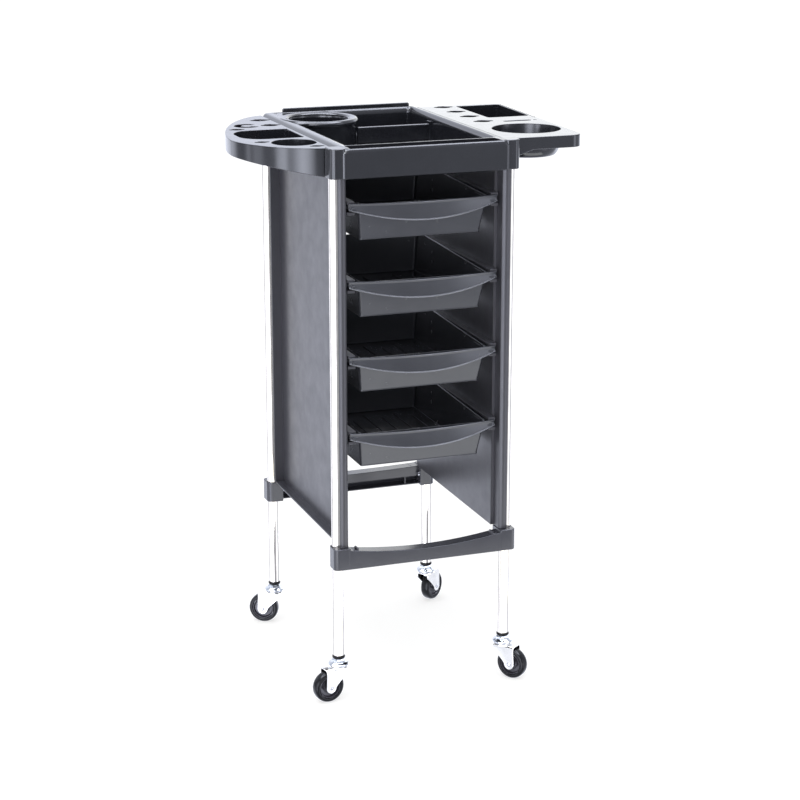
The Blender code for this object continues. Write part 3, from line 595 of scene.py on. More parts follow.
def keyhole(centre, radius, reach, slit):
    """A round tool hole with a narrow round-ended slit to each side along X."""
    angle = math.degrees(math.asin(slit / radius))
    points = arc(centre, radius, angle, 180.0 - angle, 12)
    points += arc((centre[0] - reach + slit, centre[1]), slit, 90.0, 270.0, 6)
    points += arc(centre, radius, 180.0 + angle, 360.0 - angle, 12)
    return points + arc((centre[0] + reach - slit, centre[1]), slit, -90.0, 90.0, 6)


def horseshoe(centre, outer, inner, opening):
    """A C-shaped slot, open towards +X by the given half angle."""
    points = arc(centre, outer, opening, 360.0 - opening, 36)
    return points + arc(centre, inner, 360.0 - opening, opening, 24)


def left_outline(inset, count=72):
    """A D: straight along the tray, and outside it two quarter ovals, the front one shorter."""
    span = LEFT_REACH - WING_ROOT - inset
    points = []
    for i in range(count + 1):
        angle = math.radians(-90 + 180 * i / count)
        depth, power = LEFT_FRONT if angle < 0 else LEFT_REAR
        out = span * abs(math.cos(angle)) ** (2 / power)
        along = (depth - inset) * abs(math.sin(angle)) ** (2 / power)
        points.append((-WING_ROOT - out, LEFT_MIDDLE_Y + math.copysign(along, angle)))
    points = [(min(x, -WING_ROOT - inset), y) for x, y in points]
    return evenly(points, 110)


def evenly(points, count):
    """The open line again, with its points the same distance apart."""
    lengths = [0.0]
    for (x0, y0), (x1, y1) in zip(points, points[1:]):
        lengths.append(lengths[-1] + math.hypot(x1 - x0, y1 - y0))
    made = []
    k = 0
    for i in range(count + 1):
        goal = lengths[-1] * i / count
        while k < len(points) - 2 and lengths[k + 1] < goal:
            k += 1
        share = (goal - lengths[k]) / max(lengths[k + 1] - lengths[k], 1e-12)
        (x0, y0), (x1, y1) = points[k], points[k + 1]
        made.append((x0 + (x1 - x0) * share, y0 + (y1 - y0) * share))
    return made


def notch_walls(side):
    """The two short walls round the tray's rear post, under a wing's plate."""
    low, top = APRON_Z + 0.0012, WING_TOP - PLATE_HALF
    return [
        side_block(side, (0.1515, 0.1587, low), (0.1535, 0.1958, top), 0.0007, 3),
        side_block(side, (0.1376, 0.1587, low), (0.1535, 0.1606, top), 0.0007, 3),
    ]


def hanging_wall(outline, depth=0.0120, wall=0.0011):
    """A thin wall that hangs from the edge of a hole in a wing's plate."""
    count = len(outline)
    outer = []
    for i, (x, y) in enumerate(outline):
        before, after = outline[i - 1], outline[(i + 1) % count]
        along = Vector((after[0] - before[0], after[1] - before[1])).normalized()
        outer.append((x + along.y * wall, y - along.x * wall))
    top, low = WING_TOP - PLATE_HALF, WING_TOP - depth
    rows = ((outline, top), (outer, top), (outer, low), (outline, low))
    return loft([at_height(points, z) for points, z in rows], closed=True, angle=50.0)


def skirt(outline_at, low_at):
    """The wall under a wing's plate: its face follows the outline, its foot low_at(x)."""
    top = WING_TOP - PLATE_HALF
    rows = ((0.0, None), (0.0, 0.0009), (0.0003, 0.0003), (0.0009, 0.0), (0.0017, 0.0), (0.0022, 0.0003),
            (WING_SKIN, 0.0009), (WING_SKIN, None))
    loops = []
    plan = outline_at(0.0)
    for inset, lift in rows:
        loop = []
        for (x, y), (plan_x, _) in zip(outline_at(inset), plan):
            z = top if lift is None else low_at(plan_x) + lift
            loop.append((x, y, z))
        loops.append(loop)
    return loft(loops, closed=True, angle=50.0)


def cup(outline_at, floor, wall=0.0018, draft=0.0006, top=WING_TOP - PLATE_HALF):
    """A hanging cup: outline_at(inset) is its mouth, and it has a rounded floor edge."""
    rows = (
        (draft + 0.0040, floor - wall),
        (draft + 0.0012 - wall, floor - wall + 0.0002),
        (draft + 0.0002 - wall, floor - wall + 0.0012),
        (-wall, top),
        (-0.0002, top + 0.0006),
        (0.0, top),
        (draft, floor + 0.0030),
        (draft + 0.0008, floor + 0.0010),
        (draft + 0.0026, floor + 0.0001),
        (draft + 0.0050, floor),
    )
    return loft([at_height(outline_at(inset), z) for inset, z in rows], angle=60.0)


def long_compartment(inset):
    """The left wing's long hollow: square at the tray, round at its outer end."""
    low = (-0.236 + inset, -0.040 + inset)
    high = (-0.1425 - inset, 0.055 - inset)
    return rounded(low, high, (0.035 - inset, 0.004 - inset / 3, 0.004 - inset / 3, 0.035 - inset), 10)


def round_at(centre, radius, count=72):
    return lambda inset: circle(centre, radius - inset, count)


def left_low(x):
    """The left skirt's foot, which rises outwards."""
    deep, shallow = 0.823, 0.844
    share = (abs(x) - WING_ROOT) / (LEFT_REACH - WING_ROOT)
    return deep + (shallow - deep) * share


def build_left_wing():
    holes = [
        keyhole((-0.1545, 0.158), 0.0115, 0.0162, 0.0052),
        keyhole((-0.1545, 0.100), 0.0112, 0.0158, 0.0052),
        horseshoe((-0.1920, 0.104), 0.0205, 0.0095, 38.0),
        keyhole((-0.2180, 0.0700), 0.0082, 0.0124, 0.0044),
        keyhole((-0.2175, -0.0670), 0.0074, 0.0116, 0.0040),
        keyhole((-0.1515, -0.1305), 0.0070, 0.0112, 0.0040),
        long_compartment(0.0),
        circle(WELL_AT, WELL_R, 72),
    ]
    top = plate([left_outline(0.0), *holes], WING_TOP - WING_SKIN, WING_TOP, 0.0008)
    shapes = [
        top,
        skirt(left_outline, left_low),
        cup(long_compartment, 0.8455),
        cup(round_at(WELL_AT, WELL_R), 0.8400, draft=0.0015),
    ]
    for y in (0.047, 0.038):
        rib = block((-0.1440, y - 0.0007, 0.8450), (-0.1418, y + 0.0007, WING_TOP - 0.0012), 0.0006, 3)
        shapes.append(rib)
    shapes += notch_walls(-1)
    shapes += [hanging_wall(outline) for outline in holes[:6]]
    piece("wing_left", shapes, "tray", ["left_wing"])


def right_edge(y):
    """The right wing's outer edge, which flares a little to the rear."""
    front, rear = RIGHT_FRONT + RIGHT_ROUND, RIGHT_REAR - RIGHT_ROUND
    return RIGHT_REACH - RIGHT_FLARE * (rear - y) / (rear - front)


def right_outline(inset):
    """The slanted plan with two round outer corners, with more points near the tray."""
    front, rear = RIGHT_FRONT + RIGHT_ROUND, RIGHT_REAR - RIGHT_ROUND
    tilt = math.degrees(math.atan(RIGHT_FLARE / (rear - front)))
    edge = []
    for y, start, end in ((front, -90.0, -tilt), (rear, -tilt, 90.0)):
        edge += arc((right_edge(y) - RIGHT_ROUND, y), RIGHT_ROUND - inset, start, end, 13)
    root = WING_ROOT + inset
    steps = [0.052 * (i / 14) ** 1.3 for i in range(15)]
    first = [(root + x, RIGHT_FRONT + inset) for x in steps]
    last = [(root + x, RIGHT_REAR - inset) for x in reversed(steps)]
    return first + edge + last


def right_low(x):
    """The right skirt's foot: deep at the tray, arching up to a shallow skirt."""
    deep, shallow = APRON_Z + 0.001, WING_TOP - 0.019
    share = min(max((x - WING_ROOT - 0.004) / 0.044, 0.0), 1.0)
    return deep + (shallow - deep) * share ** 0.55


def rear_compartment(inset):
    """The long rear hollow, whose outer side follows the wing's slanted edge."""
    low, high = (0.2015 + inset, 0.060 + inset), (0.2650 - inset, 0.205 - inset)
    points = []
    for x, y in rounded(low, high, (0.005 - inset / 3,) * 4, 6):
        share = (x - low[0]) / (high[0] - low[0])
        wide = right_edge(y) - 0.0050 - inset - low[0]
        points.append((low[0] + share * wide, y))
    return points


def bowl():
    """The right wing's round bowl, with a rolled mouth and a rounded bottom."""
    top = WING_TOP - PLATE_HALF
    inner = mm((0, 830), (36, 830), (41.5, 830.4), (45.5, 832.2), (48.2, 835.2), (50, 840), (52, 850),
               (53.3, 860))
    inner.append((0.0540, top))
    outer = [(r + 0.0022, z - 0.0004) for r, z in reversed(inner[4:])]
    outer += mm((47, 829.6), (44, 828.3), (38, 827.7), (0, 827.7))
    return moved(turned(inner + outer, 96, 60.0), (*BOWL_AT, 0.0))


def comb_cutter():
    """The narrow notches in the right rim, as one row of blocks."""
    count, first, last = 18, 0.042, 0.198
    blocks = []
    for i in range(count):
        y = first + (last - first) * i / (count - 1)
        edge = right_edge(y)
        low = (edge - 0.0040, y - 0.0024, WING_TOP - 0.0042)
        blocks.append(block(low, (edge + 0.01, y + 0.0024, WING_TOP + 0.005), 0.0004))
    return merged(blocks)


def build_right_wing():
    holes = [keyhole((0.178, y), 0.0112, 0.0165, 0.0054) for y in (0.202, 0.144, 0.085, 0.026)]
    holes.append(rounded((0.2080, 0.0080), (0.2550, 0.0172), (0.0044,) * 4, 6))
    holes.append(circle((0.2625, 0.0130), 0.0026, 16))
    holes.append(circle(BOWL_AT, 0.0540, 96))
    holes.append(rear_compartment(0.0))
    top = plate([right_outline(0.0), *holes], WING_TOP - WING_SKIN, WING_TOP, 0.0008)
    wall = skirt(right_outline, right_low)
    shapes = [
        carved(top, comb_cutter(), width=0.0),
        carved(wall, comb_cutter(), width=0.0),
        bowl(),
        cup(rear_compartment, 0.8350),
    ]
    shapes += notch_walls(1)
    shapes += [hanging_wall(outline) for outline in holes[:6]]
    piece("wing_right", shapes, "tray", ["right_wing"])


# Legs


def build_legs():
    bore = TUBE_R - 0.001
    tube = [(TUBE_R, TUBE_LOW + 0.0004), (TUBE_R, TUBE_TOP), (bore, TUBE_TOP), (bore, TUBE_LOW),
            (TUBE_R - 0.0004, TUBE_LOW)]
    plug = mm((4.4, 95), (4.4, 69.7), (9.3, 69.7), (9.9, 70.2), (10.1, 71.1), (10.1, 73), (9.8, 73.8),
              (9.2, 74.2), (8.1, 74.2), (8.1, 95))
    tubes = stored("leg", [turned(tube, 48)])
    plugs = stored("plug", [turned(plug, 48)])
    for corner, (x, y) in CORNERS.items():
        at = (x * LEG_X, y * LEG_Y, 0.0)
        copy_of(tubes, f"tube_{corner}", "chrome", "trolley", [f"leg_{corner}"], at)
        copy_of(plugs, f"collar_{corner}", "black", "trolley", [f"leg_plug_{corner}"], at)


# Side panels

DRAWER_TOPS = [level(f"drawer_{i}", 1) - 0.010 for i in range(1, 5)]
PANEL_IN = 0.1200
PANEL_OUT = 0.1225
POST_IN = 0.1250
POST_OUT = 0.1385
RUNNER_IN = 0.1090


def post_outline(side_x, side_y):
    """A panel's end post in plan: a crowned front strip, and a groove round the leg."""
    turn = math.degrees(math.acos((POST_OUT - LEG_X) / (TUBE_R + GAP)))
    groove = arc((LEG_X, LEG_Y), TUBE_R + GAP, turn, 360.0 - turn, 28)
    points = [(PANEL_IN, 0.1610), (PANEL_IN, 0.1630), (POST_IN - 0.0006, 0.1636), (POST_IN, 0.1646)]
    for i in range(9):
        share = i / 8
        x = POST_IN + (POST_OUT - POST_IN) * share
        points.append((x, 0.1832 + 0.0038 * math.sin(math.pi * share) ** 0.7))
    points += groove
    points += [(POST_OUT, 0.1622), (POST_OUT - 0.0008, 0.1613), (PANEL_OUT, 0.1610)]
    return [(side_x * x, side_y * y) for x, y in points]


def build_panel(name, side):
    """A thin sheet with a post at each end, a foot rib, and two runners for each drawer."""
    posts = [post_outline(side, end) for end in (-1, 1)]
    shapes = [side_block(side, (PANEL_IN, -0.1620, PANEL_LOW), (PANEL_OUT, 0.1620, PANEL_TOP), 0.0005)]
    shapes += [plate([outline], PANEL_LOW, PANEL_TOP, 0.0004, steps=2) for outline in posts]
    low = (PANEL_OUT - 0.001, -0.1600, PANEL_LOW)
    shapes.append(side_block(side, low, (POST_OUT - 0.0004, 0.1600, PANEL_LOW + 0.0026), 0.0009, 3))
    for top in DRAWER_TOPS:
        for foot, head in ((-0.0020, 0.0025), (-0.0180, -0.0133)):
            low = (RUNNER_IN, -0.1760, top + foot)
            shapes.append(side_block(side, low, (PANEL_IN + 0.001, 0.1600, top + head), 0.0008, 3))
    piece(f"panel_{name}", shapes, "panel", [f"{name}_panel"])


# Drawers

LIP_HALF = 0.1190
LIP_SIDE_Y = -0.178
LIP_MID_Y = -0.195
FLOOR_RIBS = 7
FLOOR_RIB_STEP = 0.026


def smooth_step(low, high, value):
    share = min(max((value - low) / (high - low), 0.0), 1.0)
    return share * share * (3 - 2 * share)


def drawer_tub():
    """The tapered tub with tight corners. Its rim is low behind the lip and high at the rear."""
    # half width, front, rear, corner radius, height. The rows near the top follow the rim.
    rows = mm(
        (88.5, -154.5, 113.0, 3, -59.0),
        (95.2, -161.2, 119.6, 3, -59.0),
        (96.2, -162.2, 120.6, 3, -58.7),
        (96.9, -162.9, 121.3, 4, -58.0),
        (97.0, -163.0, 121.4, 4, -57.3),
        (96.6, -162.6, 121.0, 4, -56.4),
        (104.0, -176.8, 125.0, 5, -0.8),
        (103.7, -176.5, 124.8, 5, -0.2),
        (103.2, -176.0, 124.3, 5, 0.0),
        (102.4, -175.2, 123.5, 4, 0.0),
        (101.8, -174.6, 123.0, 4, -0.3),
        (101.5, -174.3, 122.7, 4, -1.0),
        (94.4, -160.3, 118.8, 3, -54.5),
        (93.8, -159.7, 118.2, 3, -55.8),
        (92.5, -158.4, 116.9, 3, -56.5),
        (89.0, -155.0, 113.5, 3, -56.5),
    )
    loops = []
    for half, front, rear, radius, z in rows:
        follow = 1.0 if z > -0.002 else 0.0
        loop = []
        for x, y in rounded((-half, front), (half, rear), (radius,) * 4, 8):
            rise = 0.010 * smooth_step(rear - 0.010, rear - 0.002, y)
            drop = 0.0050 * smooth_step(0.104, 0.092, abs(x)) * smooth_step(-0.168, -0.172, y)
            loop.append((x, y, z + follow * (rise - drop)))
        loops.append(loop)
    return loft(loops, angle=50.0)


def lip_face(x):
    """Where the bowed lip's face is, from its middle to its ends."""
    return LIP_MID_Y + (LIP_SIDE_Y - LIP_MID_Y) * (x / LIP_HALF) ** 2


def drawer_lip():
    """The bowed front lip: a band with a thick rolled top, a hollow face and a beaded foot."""
    count = 64
    # the section, as (behind the face, height): its top, and the bead measured from the foot
    top = mm((3.4, -1.6), (3, -0.5), (2.2, 0), (1.4, -0.1), (0.2, -1), (0, -1.6), (0.7, -2.8), (1.3, -4.2))
    bead = mm((1.3, 3), (0.8, 2.2), (-0.3, 1.8), (-0.8, 1), (-0.5, 0.2), (0.4, 0), (2, 0), (2.8, 0.8))
    loops = []
    for i in range(count + 1):
        x = LIP_HALF * (2 * i / count - 1)
        foot = -0.0290 + 0.0185 * (x / LIP_HALF) ** 2
        section = [*top, (0.0016, foot / 2), *((y, foot + z) for y, z in bead), (0.0030, foot / 2)]
        loops.append([(x, lip_face(x) + y, z) for y, z in section])
    return loft(loops, angle=50.0)


def drawer_shelf():
    """The level sheet behind the lip, in front of the tub."""
    half, back, count = 0.1140, -0.1755, 24
    front = []
    for i in range(count + 1):
        x = half * (2 * i / count - 1)
        front.append((x, lip_face(x) + 0.0018))
    return plate([[(-0.102, back), *front, (0.102, back)]], -0.0100, -0.0078, 0.0005)


def build_drawers():
    shapes = [drawer_tub(), drawer_lip(), drawer_shelf()]
    for side in (-1, 1):
        shapes.append(side_block(side, (0.1010, -0.1600, -0.0125), (0.1185, 0.1235, -0.0030), 0.0010, 3))
        shapes.append(side_block(side, (0.1020, -0.1800, -0.0105), (0.1150, -0.1590, -0.0060), 0.0010, 3))
    for i in range(FLOOR_RIBS):
        x = FLOOR_RIB_STEP * (i - (FLOOR_RIBS - 1) / 2)
        shift = 0.022 * (i % 2)
        low = (x - 0.0045, -0.132 + shift, -0.0575)
        shapes.append(block(low, (x + 0.0045, 0.072 + shift, -0.0548), 0.0011, 3))
    mesh = stored("drawer", shapes)
    for number, top in enumerate(DRAWER_TOPS, 1):
        node = f"drawer_{number}"
        copy_of(mesh, f"tub_{number}", "drawer", node, [node], (0.0, 0.0, top))


# Crossbars

SOCKET_IN = 0.1240
SCREW_Y = 0.1685
SCREW_Z = 0.2390
HEAD_DEPTH = 0.0022
BEAM_LOW = 0.2345
BEAM_REAR = BAR_FRONT + 0.0220
BEAM_ENDS = 0.2535
FRONT_SAG = 0.2405
REAR_SAG = 0.2505
BAR_RIB_X = 0.1000


def bar_end(side):
    """A socket that hugs one leg, and the hooked clip at the foot of the panel's strip."""
    outline = rounded((SOCKET_IN, BAR_FRONT), (BAR_HALF, -0.1620), (0.003, 0.0075, 0.010, 0.001), 10)
    if side < 0:
        outline = mirrored(outline)
    hole = circle((side * LEG_X, -LEG_Y), TUBE_R + GAP)
    return [
        plate([outline, hole], BAR_LOW, BAR_TOP, 0.0012, steps=4),
        side_block(side, (0.1105, -0.1930, 0.2360), (SOCKET_IN + 0.001, -0.1760, 0.2500), 0.0010, 3),
        side_block(side, (0.1105, -0.1915, 0.2480), (0.1140, -0.1790, 0.2528), 0.0008, 3),
    ]


def sagging(low, sag):
    """A bar's outline from a height up to its top, which sags between the sockets."""
    half, count = 0.1400, 40
    outline = [(-half, low), (half, low)]
    for i in range(count + 1):
        x = half - 2 * half * i / count
        outline.append((x, sag + (BEAM_ENDS - sag) * (x / half) ** 2))
    return outline


def crossbar(sag):
    """A face, a closed beam along the top and an open hollow under it, with two ribs."""
    front, rear = BAR_FRONT + 0.001, BEAM_REAR
    shapes = [
        plate([sagging(BAR_LOW, sag)], -BAR_FRONT - 0.0034, -BAR_FRONT - 0.0001, 0.0011, "XZ", 4),
        plate([sagging(BEAM_LOW, sag)], -BEAM_REAR, -BAR_FRONT - 0.0006, 0.0008, "XZ", 3),
        block((-0.125, front, BAR_LOW + 0.0002), (0.125, rear, BAR_LOW + 0.0025), 0.0007),
    ]
    for side in (-1, 1):
        x = side * BAR_RIB_X
        low = (x - 0.001, front, BAR_LOW + 0.001)
        shapes.append(block(low, (x + 0.001, rear - 0.001, BEAM_LOW + 0.001), 0.0004))
        shapes += bar_end(side)
    return shapes


def build_crossbars():
    piece("bar_front", crossbar(FRONT_SAG), "bar", ["front_crossbar"])
    piece("bar_rear", crossbar(REAR_SAG), "bar", ["rear_crossbar"], heading=math.pi)


def build_screws():
    """Cross-slotted heads on the inner side of each socket, facing the middle."""
    profile = mm((0, 0.2), (3, 0), (3.8, -0.8), (3.8, -2.2), (1.5, -2.2), (1.5, -4), (0, -4.4))
    slot = block((-0.0024, -0.0004, -0.0008), (0.0024, 0.0004, 0.001), 0.0001)
    cross = block((-0.0004, -0.0024, -0.0008), (0.0004, 0.0024, 0.001), 0.0001)
    screw = stored("screw", [carved(turned(profile, 32), slot, cross, width=0.0)])
    for corner, (x, y) in CORNERS.items():
        at = (x * (SOCKET_IN - GAP - HEAD_DEPTH), y * SCREW_Y, SCREW_Z)
        mesh = screw.copy()
        mesh.transform(Matrix.Rotation(math.radians(-90 * x), 4, "Y"))
        copy_of(mesh, f"screw_{corner}", "zinc", "trolley", [f"bar_screw_{corner}"], at)


# Casters

WHEEL_R = middle("tyre_front_left").z
TRAIL = 0.019
LAID = Matrix.Rotation(math.radians(90), 4, "X")


def cap_shapes():
    """The chromed raceway cap: a flared dish under a chamfered nut, with the king pin below."""
    profile = mm(
        (0, 48.2), (4, 48.2), (4.8, 48.7), (4.8, 50), (3.2, 50.2), (3.2, 59), (15.6, 59), (16.1, 59.3),
        (16.3, 60), (16.1, 60.8), (15.4, 61.5), (14, 62), (12.2, 62.6), (11, 63.5), (10.3, 65),
        (9.6, 67.2), (8.9, 68.8), (8.2, 69.4), (4, 69.4), (4, 89.5), (0, 90),
    )
    loops = []
    for radius, z in mm((9.2, 62.8), (11.6, 63.5), (11.6, 67.2), (9.7, 68.6)):
        loops.append(at_height(circle((0, 0), radius, 6), z))
    return [turned(profile, 64, 50.0), loft(loops, angle=20.0)]


FORK_TOP = 0.0554
FORK_OUT = 0.0116
FORK_SHEET = 0.0021
FORK_BEND = 0.0042
FOOT_R = 0.0085


def fork_line():
    """The middle of the bent sheet seen from behind: points (y, z), left foot to right foot."""
    side, top = FORK_OUT - FORK_SHEET / 2, FORK_TOP - FORK_SHEET / 2
    half = [(side, WHEEL_R - FOOT_R * math.cos(math.radians(a))) for a in range(2, 91, 11)]
    half += [(side, WHEEL_R + 0.004 * i) for i in range(1, 6)]
    half += [(side, 0.0455), (side, 0.0480)]
    half += arc((side - FORK_BEND, top - FORK_BEND), FORK_BEND, 0.0, 90.0, 7)
    half.append((side * 0.25, top))
    return half + [(-y, z) for y, z in reversed(half)]


def fork_reach(z):
    """How far the fork's sheet reaches along X at a height: a round foot about the axle, a
    straight rear edge and a front edge that slopes up to the crown."""
    if z < WHEEL_R:
        half = math.sqrt(max(FOOT_R ** 2 - (WHEEL_R - z) ** 2, 1e-8))
        return TRAIL - half, TRAIL + half
    share = min((z - WHEEL_R) / (0.0465 - WHEEL_R), 1.0)
    front = TRAIL - FOOT_R - (TRAIL - FOOT_R + 0.0112) * share ** 1.15
    return front, TRAIL + FOOT_R - 0.0010 * share


def rounded_strip(low, high, half, soft):
    """The sheet's section, as (along X, out from its middle), with rounded edges."""
    quarter = ((soft, 0.0), (0.2 * soft, 0.0003), (0.0, soft))
    right = [(high - x, out - half) for x, out in quarter]
    left = [(low + x, half - out) for x, out in quarter]
    right += [(x, -out) for x, out in reversed(right)]
    left += [(x, -out) for x, out in reversed(left)]
    return [(low + soft, -half), *right, *left[:-1]]


def fork_shapes():
    """The pressed fork, as a sheet bent over the wheel."""
    line = fork_line()
    loops = []
    for i, (y, z) in enumerate(line):
        before = line[max(i - 1, 0)]
        after = line[min(i + 1, len(line) - 1)]
        along = Vector((0.0, after[0] - before[0], after[1] - before[1])).normalized()
        normal = Vector((0.0, along.z, -along.y))
        front, rear = fork_reach(min(z, FORK_TOP - FORK_SHEET))
        section = rounded_strip(front, rear, FORK_SHEET / 2, min(0.0007, (rear - front) / 3))
        loops.append([Vector((x, y, z)) + normal * out for x, out in section])
    boss = turned([(0.0037, FORK_TOP - 0.0005), (0.0150, FORK_TOP - 0.0005), (0.0150, FORK_TOP - 0.0002),
                   (0.0143, FORK_TOP + 0.0005), (0.0037, FORK_TOP + 0.0005)], 48)
    return [loft(loops, angle=40.0), boss]


def both_sides(half):
    """A profile to be turned, and its mirror image below."""
    return half + [(r, -z) for r, z in reversed(half) if z]


def axle_shape():
    """The riveted axle, laid along Y, with two domed heads."""
    half, head = 0.0119, 0.0136
    dome = [(0.0, head), (0.0016, head - 0.0001), (0.0028, head - 0.0005), (0.0036, head - 0.0012)]
    profile = both_sides([*dome, (0.0037, half), (0.0020, half)])
    return moved(turned(profile, 32), turn=LAID)


def hub_shape():
    """The wheel's core: a deep dish with a flat ring, a rolled rim and a raised boss each side."""
    half = mm((17.8, 5.5), (17.8, 6.8), (17.4, 7.2), (16.7, 7.2), (16.2, 6.6), (15.7, 4), (15, 3),
              (10.8, 2.6), (10.2, 3.2), (9.6, 3.2), (9, 2.6), (6.8, 3.2), (5.8, 5), (5.3, 8.2),
              (4.6, 8.8), (2.5, 8.8))
    return moved(turned(both_sides(half), 64, 30.0), turn=LAID)


def tyre_shape():
    """A flat tread between soft side walls."""
    # the tread's shoulder: how far below the tread, and how far out
    shoulder = mm((0, 0), (0, 2.6), (0.2, 4.2), (0.7, 5.7), (1.5, 6.9), (2.7, 7.7), (4.2, 7.9))
    half = [(WHEEL_R - below, out) for below, out in shoulder]
    half += mm((19.2, 7.8), (18.7, 7.5), (18.3, 6.9), (18.2, 5))
    return moved(turned(both_sides(half), 96, 50.0), turn=LAID)


def build_casters():
    race = turned(arc((0.0125, 0.0572), 0.0015, 0.0, 337.5, 15), 48, 60.0)
    caps = stored("cap", cap_shapes())
    # mesh, name, look and node of each piece that turns with the swivel or with the wheel
    swivelling = (
        (stored("race", [race]), "race", "zinc", "ball_race"),
        (stored("fork", fork_shapes()), "yoke", "caster", "fork"),
    )
    rolling = (
        (stored("axle", [axle_shape()]), "rivet", "zinc", "axle"),
        (stored("hub", [hub_shape()]), "hub", "hub", "wheel_hub"),
        (stored("tyre", [tyre_shape()]), "rim", "tyre", "tyre"),
    )
    for corner, (x, y) in CORNERS.items():
        at = Vector((x * LEG_X, y * LEG_Y, 0.0))
        copy_of(caps, f"cap_{corner}", "cap", "trolley", [f"caster_mount_{corner}"], at)
        wheel = middle(f"tyre_{corner}") - ORIGIN
        heading = math.atan2(wheel.y - at.y, wheel.x - at.x)
        for pieces, body, place in ((swivelling, "swivel", at), (rolling, "wheel", wheel)):
            for mesh, name, look, node in pieces:
                nodes = [f"{node}_{corner}"]
                copy_of(mesh, f"{name}_{corner}", look, f"{body}_{corner}", nodes, place, heading)


# Studio

CAMERA_AT = (-1.0921, -3.0601, 1.3387)
CAMERA_TURN = (-20.086, 15.651)
LENS = 93.8775
SHEEN = (0.90, 0.94, 1.08, 1.0)
WHITE = (1.0, 1.0, 1.0, 1.0)
# upright cards round the trolley: centre, half width and softness in degrees, and strength
CARDS = (
    (-33.0, 10.0, 7.0, 5.6),
    (-52.0, 16.0, 5.0, 2.2),
    (-64.0, 7.0, 3.0, 3.2),
    (-95.0, 7.0, 3.0, 1.3),
    (-110.0, 3.5, 2.0, 1.0),
    (-126.0, 10.0, 4.0, -0.75),
    (-149.0, 8.0, 5.0, 0.6),
    (8.0, 15.0, 7.0, -0.42),
    (48.0, 9.0, 5.0, 2.2),
    (118.0, 6.0, 3.0, 1.4),
)


def band(tree, value, centre, half, soft):
    """One within a half width of the centre, zero outside, with soft edges."""
    away = maths(tree, "ABSOLUTE", maths(tree, "SUBTRACT", value, centre))
    return scaled(tree, away, 1.0, 0.0, half - soft, half + soft)


def sheen_strength(tree):
    """How bright the studio is in a reflection, by direction: cards round the trolley, a bright
    strip overhead and a pale backdrop behind."""
    parts = tree.nodes.new("ShaderNodeSeparateXYZ")
    tree.links.new(tree.nodes.new("ShaderNodeTexCoord").outputs["Generated"], parts.inputs[0])
    x, y, z = parts.outputs
    radians = maths(tree, "ARCTAN2", x, maths(tree, "MULTIPLY", y, -1.0))
    around = maths(tree, "MULTIPLY", radians, 180.0 / math.pi)
    sides = 0.0
    for centre, half, soft, power in CARDS:
        card = maths(tree, "MULTIPLY", band(tree, around, centre, half, soft), power)
        sides = maths(tree, "ADD", sides, card)
    sides = maths(tree, "MULTIPLY", sides, band(tree, z, -0.05, 0.42, 0.08))
    rear = scaled(tree, y, 0.0, 0.45, 0.1, 0.6)
    backdrop = maths(tree, "MULTIPLY", rear, band(tree, z, 0.24, 0.22, 0.12))
    overhead = maths(tree, "MULTIPLY", band(tree, z, 0.88, 0.07, 0.03), 10.0)
    below = scaled(tree, z, 1.0, 0.0, -0.2, -0.05)
    behind = maths(tree, "MULTIPLY", scaled(tree, y, 0.0, 0.5, 0.1, 0.4), below)
    strength = maths(tree, "ADD", sides, 1.0)
    for value in (backdrop, overhead, behind):
        strength = maths(tree, "ADD", strength, value)
    return strength


def build_world():
    """Plain white light, and the studio's cards where a glossy surface looks at it."""
    world = bpy.data.worlds.new("studio")
    bpy.context.scene.world = world
    world.use_nodes = True
    tree = world.node_tree
    ray = tree.nodes.new("ShaderNodeLightPath")
    mixed = tree.nodes.new("ShaderNodeMixShader")
    plain = add(tree, "Background", Color=WHITE, Strength=1.0)
    glossy = add(tree, "Background", Color=SHEEN, Strength=sheen_strength(tree))
    for value, socket in zip((ray.outputs["Is Glossy Ray"], plain, glossy), mixed.inputs):
        tree.links.new(value, socket)
    tree.links.new(mixed.outputs[0], tree.nodes["World Output"].inputs["Surface"])


def build_floor():
    """A wide pale disc, lit a little from within so that it fades into the white around it."""
    shape = bmesh.new()
    bmesh.ops.create_circle(shape, cap_ends=True, segments=96, radius=40.0)
    floor = linked("floor", stored("floor", [shape]))
    floor.visible_glossy = False
    made, tree, shader = new_look("pale_floor")
    mottle = add(tree, "TexNoise", Vector=place_of(tree), Scale=3.0, Detail=3.0)
    tone = blend(tree, scaled(tree, mottle, 0.0, 1.0), (0.52, 0.52, 0.52, 1.0), (0.54, 0.54, 0.54, 1.0))
    feed(tree, shader, Base_Color=tone, Roughness=0.9, Specular_IOR_Level=0.0)
    feed(tree, shader, Emission_Color=WHITE, Emission_Strength=0.57)
    floor.data.materials.append(made)


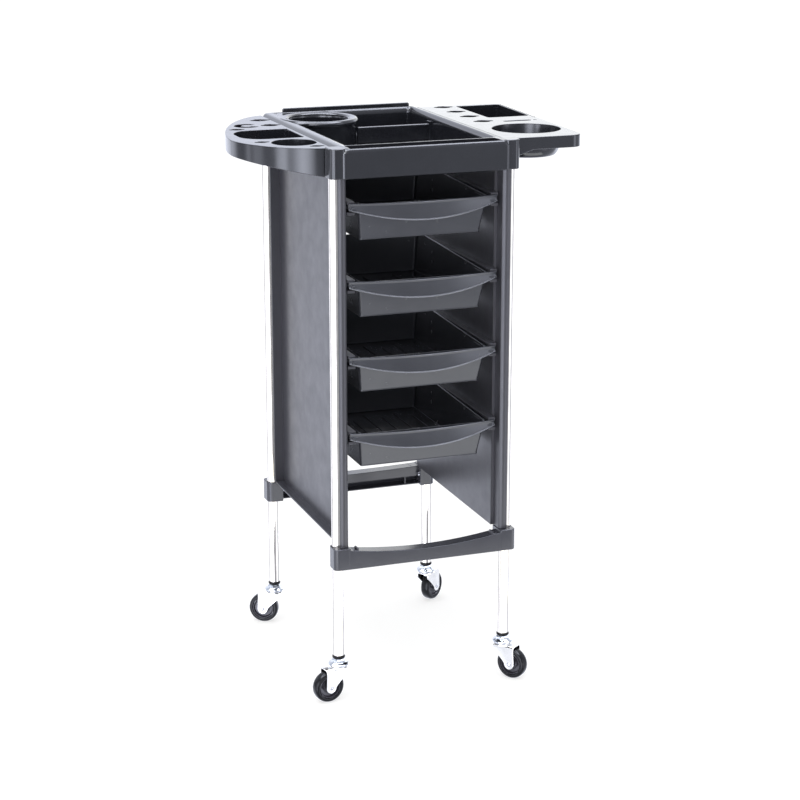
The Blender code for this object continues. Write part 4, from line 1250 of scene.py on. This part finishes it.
def build_card(name, size, at, tilt, power):
    """A glowing sheet that only reflections see."""
    shape = bmesh.new()
    bmesh.ops.create_grid(shape, x_segments=1, y_segments=1, size=0.5)
    card = linked(name, stored(name, [shape]))
    card.scale = (*size, 1.0)
    card.location = at
    card.rotation_euler = (math.radians(tilt), 0.0, 0.0)
    card.visible_camera = False
    card.visible_diffuse = False
    card.visible_shadow = False
    made, tree, shader = new_look(name)
    feed(tree, shader, Base_Color=(0.0, 0.0, 0.0, 1.0), Specular_IOR_Level=0.0)
    feed(tree, shader, Emission_Color=(0.95, 0.97, 1.0, 1.0), Emission_Strength=power)
    card.data.materials.append(made)


def build_lamp(name, size, at, energy):
    """A soft rectangular lamp aimed at the middle of the trolley."""
    lamp = bpy.data.lights.new(name, "AREA")
    lamp.shape = "RECTANGLE"
    lamp.size, lamp.size_y = size
    lamp.energy = energy
    box = linked(name, lamp)
    box.location = at
    aim = Vector((0.0, 0.0, 0.5)) - box.location
    box.rotation_euler = aim.to_track_quat("-Z", "Y").to_euler()
    return box


def build_camera():
    lens = bpy.data.cameras.new("camera")
    lens.lens = LENS
    lens.sensor_width = 36.0
    lens.clip_end = 200.0
    camera = linked("camera", lens)
    camera.location = ORIGIN + Vector(CAMERA_AT)
    a, e = (math.radians(value) for value in CAMERA_TURN)
    back = Vector((math.sin(a) * math.cos(e), -math.cos(a) * math.cos(e), math.sin(e)))
    camera.rotation_euler = back.to_track_quat("Z", "Y").to_euler()
    bpy.context.scene.camera = camera


def build_studio():
    build_world()
    build_floor()
    build_card("floor_card", (1.6, 0.44), (0.0, -0.56, 0.0008), 0.0, 3.0)
    build_card("rear_card", (2.6, 2.3), (2.0, 2.2, 1.25), 90.0, 1.9)
    build_lamp("softbox", (1.6, 1.2), (-1.2, -1.0, 2.6), 16.0)
    fill = build_lamp("front_fill", (1.4, 1.0), (-0.7, -2.4, 0.95), 9.0)
    fill.visible_glossy = False
    build_camera()
    bpy.context.scene.view_settings.view_transform = "Standard"


build_tray()
build_divider()
build_left_wing()
build_right_wing()
build_legs()
build_panel("left", -1)
build_panel("right", 1)
build_drawers()
build_crossbars()
build_screws()
build_casters()
build_studio()
